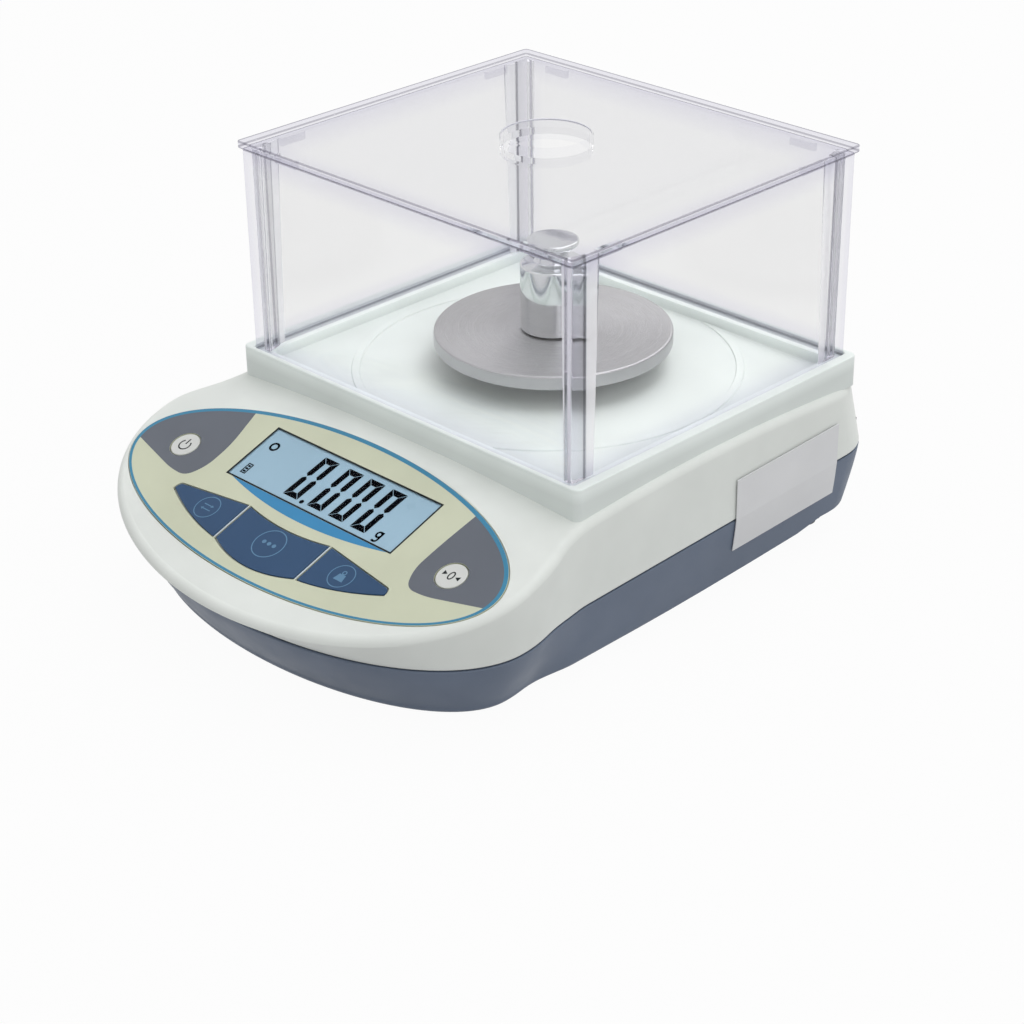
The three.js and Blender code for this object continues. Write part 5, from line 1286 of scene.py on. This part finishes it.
def zone_outline(side):
    def turn_of(point):
        return math.atan2((point[1] - RING_SHIFT) / RING_HALF_DEPTH, point[0] / RING_HALF_WIDTH)
    start = turn_of(ZONE_BACK)
    end = turn_of(ZONE_FRONT) + 2 * math.pi
    arc = []
    for i in range(ZONE_STEPS + 1):
        turn = start + (end - start) * i / ZONE_STEPS
        arc.append((RING_HALF_WIDTH * math.cos(turn), RING_SHIFT + RING_HALF_DEPTH * math.sin(turn)))
    inner = [(x - side * ZONE_SHIFT, y) for x, y in ZONE_CORNERS]
    corner = fillet([arc[-1]] + inner + [arc[0]], ZONE_ROUNDING, 10)[1:-1]
    return [(-side * x, y) for x, y in arc + corner]


# Pale strips on the sheet's bars between the three keys of the row
STRIP_HALF = ROW_GAP / 2 - KEY_CLEARANCE
SIDES = ((-1, "left"), (1, "right"))
for side, word in SIDES:
    zone = prism("overlay_zone_" + word, anticlockwise(zone_outline(side)), OVERLAY_TOP,
                 OVERLAY_TOP + PRINT_THICKNESS, PRINT_GREY)
    combine(zone, block(round_key(side, KEY_CLEARANCE), 0, OVERCUT))
    finish_piece(to_keypad(zone), "housing", "overlay")
for side, word in SIDES:
    x0, x1 = sorted((side * (ROW_INNER - STRIP_HALF), side * (ROW_INNER + STRIP_HALF)))
    film("overlay_strip_" + word, rectangle(x0, x1, ROW_FRONT, ROW_BACK), PRINT_PALE, SHEET_LAYER)

# The blue crescent in front of the display
SWOOSH_LEFT = -35.5
SWOOSH_RIGHT = 37.3
SWOOSH_MIDDLE = -0.3
SWOOSH_DEPTH = 4.6
SWOOSH_GAP = 0.35
SWOOSH_BACK = WINDOW_LOW - SWOOSH_GAP
film("overlay_swoosh", curve((SWOOSH_LEFT, SWOOSH_BACK), (SWOOSH_MIDDLE, WINDOW_LOW - 2 * SWOOSH_DEPTH),
                             (SWOOSH_RIGHT, SWOOSH_BACK), 40), SWOOSH_BLUE, SHEET_LAYER)

# Display: film with its figures under a clear window, and a thin dark border
LCD_THICKNESS = 0.05
LCD_GROW = 0.2
BORDER = 0.65
WINDOW_SIDES = (-WINDOW_HALF, WINDOW_HALF, WINDOW_LOW, WINDOW_HIGH)
pane = prism("display_pane", rectangle(*WINDOW_SIDES), LCD_TOP + LCD_THICKNESS, OVERLAY_TOP, WINDOW)
finish_piece(to_keypad(pane), "housing", "display_cover", "display_window")
band("display_border", rectangle(*WINDOW_SIDES, GAP), rectangle(*WINDOW_SIDES, GAP - BORDER), PRINT_DARK,
     BORDER_LAYER)
lcd = prism("lcd_film", rectangle(*WINDOW_SIDES, LCD_GROW), LCD_TOP - LCD_THICKNESS, LCD_TOP, LCD_BLUE)
finish_piece(to_keypad(lcd), "housing", "display")

DIGIT_LEFTS = (-14.0, -2.6, 7.4, 17.6)
DIGIT_WIDTH = 6.8
DIGIT_LOW = 1.5
DIGIT_HIGH = 20.5
DIGIT_LEAN = 0.045
STROKE = 2.25
STROKE_GAP = 0.12
POINT_PLACE = (-5.1, 1.7)
POINT_RADIUS = 0.85


def zero_bars(x0, x1, y0, y1):
    """The six bars of a zero, mitred at its corners and pointed at its waist."""
    width = STROKE
    gap = STROKE_GAP
    middle = (y0 + y1) / 2
    level = [(x0 + gap, y1), (x0 + width + gap, y1 - width), (x1 - width - gap, y1 - width), (x1 - gap, y1)]
    upright = [(x0, y1 - gap), (x0, middle + width / 2), (x0 + width / 2, middle + gap),
               (x0 + width, middle + width / 2), (x0 + width, y1 - width - gap)]
    bars = []
    for turned in (False, True):
        for bar in (level, upright, [(x0 + x1 - x, y) for x, y in upright]):
            bars.append([(x, y0 + y1 - y) if turned else (x, y) for x, y in bar])
    return bars


def figure_film(name, outline):
    lean = [(x + (y - DIGIT_LOW) * DIGIT_LEAN, y) for x, y in outline]
    film(name, lean, LCD_BLACK, FIGURE_LAYER)


for number, left in enumerate(DIGIT_LEFTS):
    for part, bar in enumerate(zero_bars(left, left + DIGIT_WIDTH, DIGIT_LOW, DIGIT_HIGH)):
        figure_film(f"digit_{number}_{part}", bar)
figure_film("decimal_point", disc(POINT_RADIUS, POINT_PLACE, 24))

# Stable mark: a small ring. Charge mark: a small battery outline with three bars
STABLE_PLACE = (-33.3, 15.7)
STABLE_OUTER = 1.95
STABLE_INNER = 1.1
CHARGE_SIDES = (-35.4, -33.0, 1.6, 6.2)
CHARGE_LINE = 0.45
CHARGE_BAR_INSET = 0.6
CHARGE_BAR_LOW = 0.65
CHARGE_BAR_PITCH = 1.2
CHARGE_BAR_HEIGHT = 0.8
band("stable_mark", disc(STABLE_OUTER, STABLE_PLACE, 40), disc(STABLE_INNER, STABLE_PLACE, 40), LCD_BLACK,
     FIGURE_LAYER)
band("charge_mark", rectangle(*CHARGE_SIDES), rectangle(*CHARGE_SIDES, -CHARGE_LINE), LCD_BLACK, FIGURE_LAYER)
charge_left, charge_right, charge_low, _ = CHARGE_SIDES
for bar in range(3):
    low = charge_low + CHARGE_BAR_LOW + bar * CHARGE_BAR_PITCH
    film(f"charge_bar_{bar}", rectangle(charge_left + CHARGE_BAR_INSET, charge_right - CHARGE_BAR_INSET,
                                        low, low + CHARGE_BAR_HEIGHT), LCD_BLACK, FIGURE_LAYER)

# Unit mark: the small g of grams, drawn as a ring with a hooked tail
UNIT_PLACE = (29.3, 3.4)
UNIT_BOWL_OUTER = (1.35, 1.45)
UNIT_BOWL_INNER = (0.6, 0.7)
UNIT_TAIL_TOP = [(1.0, 1.4), (1.0, -1.6)]
UNIT_TAIL_HOOK = ((1.0, -1.7), (0.9, -3.0), (-0.1, -2.9))
UNIT_TAIL_END = (-1.0, -2.7)
UNIT_TAIL_WIDTH = 0.8
band("unit_mark_bowl", ellipse(*UNIT_BOWL_OUTER, UNIT_PLACE, 32), ellipse(*UNIT_BOWL_INNER, UNIT_PLACE, 32),
     LCD_BLACK, FIGURE_LAYER)
tail = moved(UNIT_TAIL_TOP + curve(*UNIT_TAIL_HOOK, 6) + [UNIT_TAIL_END], UNIT_PLACE)
film("unit_mark_tail", stroke_outline(tail, UNIT_TAIL_WIDTH), LCD_BLACK, TAIL_LAYER)


# Keys with rounded edges, their outline rings and generic signs
def key_layer(key):
    slot = "round_key" if key in ("power", "tare") else "navy_key"
    return key + "_key", slot, KEY_TOP, PRINT_THICKNESS


def make_key(name, outline, material, key):
    body, slot, _, _ = key_layer(key)
    piece = prism(name, outline, KEY_TOP - KEY_THICKNESS, KEY_TOP, material)
    soften(piece, KEY_EDGE)
    finish_piece(to_keypad(piece), body, slot, "key_" + key)
    rod = to_keypad(rod_tool(STEM_RADIUS, KEY_STEMS[key], STEM_FOOT, KEY_TOP - KEY_THICKNESS / 2, 24))
    rod.name = name + "_stem"
    rod.data.materials.append(material)
    finish_piece(rod, body, slot)


make_key("left_row_key", side_key(-1), NAVY, "left")
make_key("middle_row_key", middle_key(), NAVY, "middle")
make_key("right_row_key", side_key(1), NAVY, "right")
make_key("left_round_key", round_key(-1), KEY_PALE, "power")
make_key("right_round_key", round_key(1), KEY_PALE, "tare")

# Rings and signs: two arrows on the left key, three dots on the middle one, a weight on the right one
LEFT_RING = (-32, -15.7)
RIGHT_RING = (32, -15.7)
MIDDLE_RING = (0, -17.2)
SIDE_RING_RADIUS = 4.5
SIDE_RING_WIDTH = 0.3
MIDDLE_RING_RADIUS = 5.7
MIDDLE_RING_WIDTH = 0.35
ARROW_HALF_LENGTH = 2.2
ARROW_OFFSET = 0.9
ARROW_WIDTH = 0.35
ARROW_HEAD = 1.0
ARROW_HEAD_SHARE = 0.6
DOT_OFFSETS = (-2.3, 0, 2.3)
DOT_RADIUS = 0.75
WEIGHT_SIGN = [(-1.9, -1.9), (1.9, -1.9), (1.3, 0.7), (-1.3, 0.7)]
WEIGHT_SIGN_KNOB = (0, 1.5)
WEIGHT_SIGN_RADII = (0.85, 0.5)
for key, centre, radius, width in (("left", LEFT_RING, SIDE_RING_RADIUS, SIDE_RING_WIDTH),
                                   ("right", RIGHT_RING, SIDE_RING_RADIUS, SIDE_RING_WIDTH),
                                   ("middle", MIDDLE_RING, MIDDLE_RING_RADIUS, MIDDLE_RING_WIDTH)):
    band(key + "_row_ring", disc(radius + width / 2, centre, 64), disc(radius - width / 2, centre, 64),
         PRINT_LIGHT, key_layer(key))


def arrow(name, start, end):
    start = np.array(start, float)
    end = np.array(end, float)
    along = (end - start) / np.linalg.norm(end - start)
    half = np.array([-along[1], along[0]]) * ARROW_HEAD * ARROW_HEAD_SHARE
    root = end - along * ARROW_HEAD
    shaft = stroke_outline([start, end - along * ARROW_HEAD * ARROW_HEAD_SHARE], ARROW_WIDTH)
    film(name + "_shaft", shaft, PRINT_LIGHT, key_layer("left"))
    film(name + "_head", [tuple(end), tuple(root + half), tuple(root - half)], PRINT_LIGHT, key_layer("left"))


for word, turn in (("upper", 1), ("lower", -1)):
    across = turn * ARROW_HALF_LENGTH
    along = turn * ARROW_OFFSET
    arrow("left_sign_" + word, *moved([(-across, along), (across, along)], LEFT_RING))
for number, offset in enumerate(DOT_OFFSETS):
    dot = disc(DOT_RADIUS, (MIDDLE_RING[0] + offset, MIDDLE_RING[1]), 28)
    film(f"middle_sign_{number}", dot, PRINT_LIGHT, key_layer("middle"))
film("right_sign_body", moved(WEIGHT_SIGN, RIGHT_RING), PRINT_LIGHT, key_layer("right"))
knob_place = moved([WEIGHT_SIGN_KNOB], RIGHT_RING)[0]
band("right_sign_knob", *(disc(radius, knob_place, 28) for radius in WEIGHT_SIGN_RADII), PRINT_LIGHT,
     key_layer("right"))

# Round keys: a power sign on the left and a zero between arrows on the right
POWER_ARC_RADIUS = 2.1
POWER_ARC_SHIFT = -0.2
POWER_ARC_START = 130
POWER_ARC_SPAN = 280
POWER_ARC_STEPS = 32
POWER_ARC_WIDTH = 0.5
POWER_BAR = (-0.25, 0.25, 0.2, 2.7)
ZERO_OUTER = (1.1, 1.7)
ZERO_INNER = (0.65, 1.25)
TARE_ARROW = ((1.7, 0), (3.3, 0.9), (3.3, -0.9))
power = KEY_STEMS["power"]
zero = KEY_STEMS["tare"]
arc = []
for i in range(POWER_ARC_STEPS + 1):
    turn = math.radians(POWER_ARC_START + POWER_ARC_SPAN * i / POWER_ARC_STEPS)
    arc.append((power[0] + POWER_ARC_RADIUS * math.cos(turn),
                power[1] + POWER_ARC_SHIFT + POWER_ARC_RADIUS * math.sin(turn)))
film("power_sign_arc", stroke_outline(arc, POWER_ARC_WIDTH), PRINT_DARK, key_layer("power"))
film("power_sign_bar", moved(rectangle(*POWER_BAR), power), PRINT_DARK, key_layer("power"))
band("tare_sign_zero", ellipse(*ZERO_OUTER, zero, 40), ellipse(*ZERO_INNER, zero, 40), PRINT_DARK,
     key_layer("tare"))
for side, word in SIDES:
    tip = moved([(side * x, y) for x, y in TARE_ARROW], zero)
    film("tare_sign_arrow_" + word, tip, PRINT_DARK, key_layer("tare"))


# Feet: fluted knobs and domed pads
def make_foot(name, centre):
    outline = []
    steps = FLUTES * FLUTE_STEPS
    for i in range(steps):
        turn = 2 * math.pi * i / steps
        radius = KNOB_RADIUS - FLUTE_DEPTH * (0.5 - 0.5 * math.cos(turn * FLUTES)) ** 2
        outline.append((radius * math.cos(turn), radius * math.sin(turn)))
    edge = [(KNOB_EDGE, 0), (KNOB_EDGE_MIDDLE, KNOB_EDGE_MIDDLE), (0, KNOB_EDGE)]
    levels = [(inset, KNOB_TOP - rise) for inset, rise in edge]
    levels += [(inset, KNOB_BOTTOM + rise) for inset, rise in edge[::-1]]
    rings = []
    for inset, z in levels:
        scale = 1 - inset / KNOB_RADIUS
        rings.append([(centre[0] + px * scale, centre[1] + py * scale, z) for px, py in outline])
    knob = skin("knob_" + name, rings, BLACK)
    combine(knob, rod_tool(KNOB_POCKET_RADIUS, centre, -OVERCUT, KNOB_POCKET_TOP, 64))
    combine(knob, rod_tool(STUD_RADIUS, centre, KNOB_TOP - OVERCUT, STUD_TOP, 32), operation="UNION")
    finish_piece(knob, "knob_" + name, "black_plastic", "foot_knob_" + name)
    pad = lathe("pad_" + name, fillet(PAD_PROFILE, PAD_EDGE, 5)[::-1], centre, RUBBER, 72)
    finish_piece(pad, "pad_" + name, "black_rubber", "foot_pad_" + name)


for name, centre in FEET.items():
    make_foot(name, centre)

# Materials of the solids that stay as they are
KEPT = (
    (ALLOY, "pan_holder mounting_plate cell_base_block load_cell cell_spacer carrier_plate"),
    (BLACK, "switch_power switch_tare switch_left switch_middle switch_right power_inlet battery_snap"),
    (BLACK, "battery_lead_black"),
    (SCREW, "fixed_end_screw_1 fixed_end_screw_2 free_end_screw_1 free_end_screw_2"),
    (SCREW, " ".join("housing_screw_" + corner for corner in CORNERS)),
    (BRASS, "overload_stop " + " ".join("foot_insert_" + corner for corner in CORNERS)),
    (CONNECTOR, "display_backlight battery_connector cell_connector"),
    (BOARD, "display_board main_board"),
    (LCD_BLUE, "display_panel"),
    (BLUE_GREY, "battery_door"),
    (RED, "battery_lead_red"),
    (LABEL, "side_label"),
)
for material, names in KEPT:
    for name in names.split():
        mesh = nodes[name].data
        mesh.materials.clear()
        mesh.materials.append(material)


# Camera, fitted to the photograph's edges
FOCAL_PIXELS = 2376.27
FRAME_PIXELS = 1024
SENSOR = 36
AZIMUTH = math.radians(45.17)
ELEVATION = math.radians(28.27)
ROLL = math.radians(-0.79)
DISTANCE = 798.07
SIDE_STEP = -11.97
UP_STEP = -54.72
level = math.cos(ELEVATION)
back = Vector((math.sin(AZIMUTH) * level, -math.cos(AZIMUTH) * level, math.sin(ELEVATION)))
right = Vector((math.cos(AZIMUTH), math.sin(AZIMUTH), 0))
up = back.cross(right)
turned_right = right * math.cos(ROLL) + up * math.sin(ROLL)
turned_up = up * math.cos(ROLL) - right * math.sin(ROLL)
aim = Vector((0, TRAY_CENTRE_Y, TRAY_TOP))
eye = aim + back * DISTANCE + turned_right * SIDE_STEP + turned_up * UP_STEP
camera_data = bpy.data.cameras.new("camera")
camera_data.sensor_width = SENSOR
camera_data.lens = FOCAL_PIXELS / FRAME_PIXELS * SENSOR
camera = bpy.data.objects.new("camera", camera_data)
bpy.context.scene.collection.objects.link(camera)
rows = [(turned_right[i], turned_up[i], back[i], eye[i] * MM) for i in range(3)]
camera.matrix_world = Matrix((*rows, (0, 0, 0, 1)))
bpy.context.scene.camera = camera

# Floor, world and lamps; places and sizes of the lamps are in metres
FLOOR_HALF = 3000
FLOOR_BASE = (0.55, 0.55, 0.55, 1)
FLOOR_SEEN_SHARE = 0.96
PURE_WHITE = (1, 1, 1, 1)
AMBIENT = 0.63
LAMP_AIM = (0, 0, 0.06)
LAMPS = (("key_lamp", (-0.5, -0.9, 1.3), 0.7, 0.7), ("top_lamp", (0.25, 0.4, 1.45), 5, 1),
         ("fill_lamp", (1.2, -0.2, 0.9), 3, 0.9), ("rear_lamp", (-0.3, 1.1, 1.1), 3.1, 0.8))


def background_seen(tree):
    """One for the rays of the camera, of clear parts and of gloss, which all see a white background."""
    path = node(tree, "ShaderNodeLightPath")
    direct = math_node(tree, "MAXIMUM", path.outputs["Is Camera Ray"], path.outputs["Is Transmission Ray"])
    return math_node(tree, "MAXIMUM", direct, path.outputs["Is Glossy Ray"])


def make_floor():
    corners = [(x, y, 0) for x, y in rectangle(-FLOOR_HALF, FLOOR_HALF, -FLOOR_HALF, FLOOR_HALF)]
    floor = mesh_piece("floor", corners, [(0, 1, 2, 3)])
    material, tree, shader = new_material("pale_floor")
    fill(tree, shader, Base_Color=FLOOR_BASE, Roughness=0.9, Specular_IOR_Level=0)
    glow = node(tree, "ShaderNodeEmission", Strength=1)
    mix_surface(tree, math_node(tree, "MULTIPLY", background_seen(tree), FLOOR_SEEN_SHARE), shader, glow)
    floor.data.materials.append(material)


def make_world():
    world = bpy.data.worlds.new("world")
    bpy.context.scene.world = world
    world.use_nodes = True
    tree = world.node_tree
    ambient = tree.nodes["Background"]
    fill(tree, ambient, Color=PURE_WHITE, Strength=AMBIENT)
    seen_white = node(tree, "ShaderNodeBackground", Color=PURE_WHITE, Strength=1)
    mix_surface(tree, background_seen(tree), ambient, seen_white, "World Output")


def add_lamp(name, place, power, size):
    data = bpy.data.lights.new(name, "AREA")
    data.energy = power
    data.size = size
    lamp = bpy.data.objects.new(name, data)
    lamp.location = place
    lamp.rotation_euler = (Vector(LAMP_AIM) - Vector(place)).to_track_quat("-Z", "Y").to_euler()
    bpy.context.scene.collection.objects.link(lamp)


make_floor()
make_world()
for lamp in LAMPS:
    add_lamp(*lamp)
bpy.context.scene.view_settings.view_transform = "Standard"
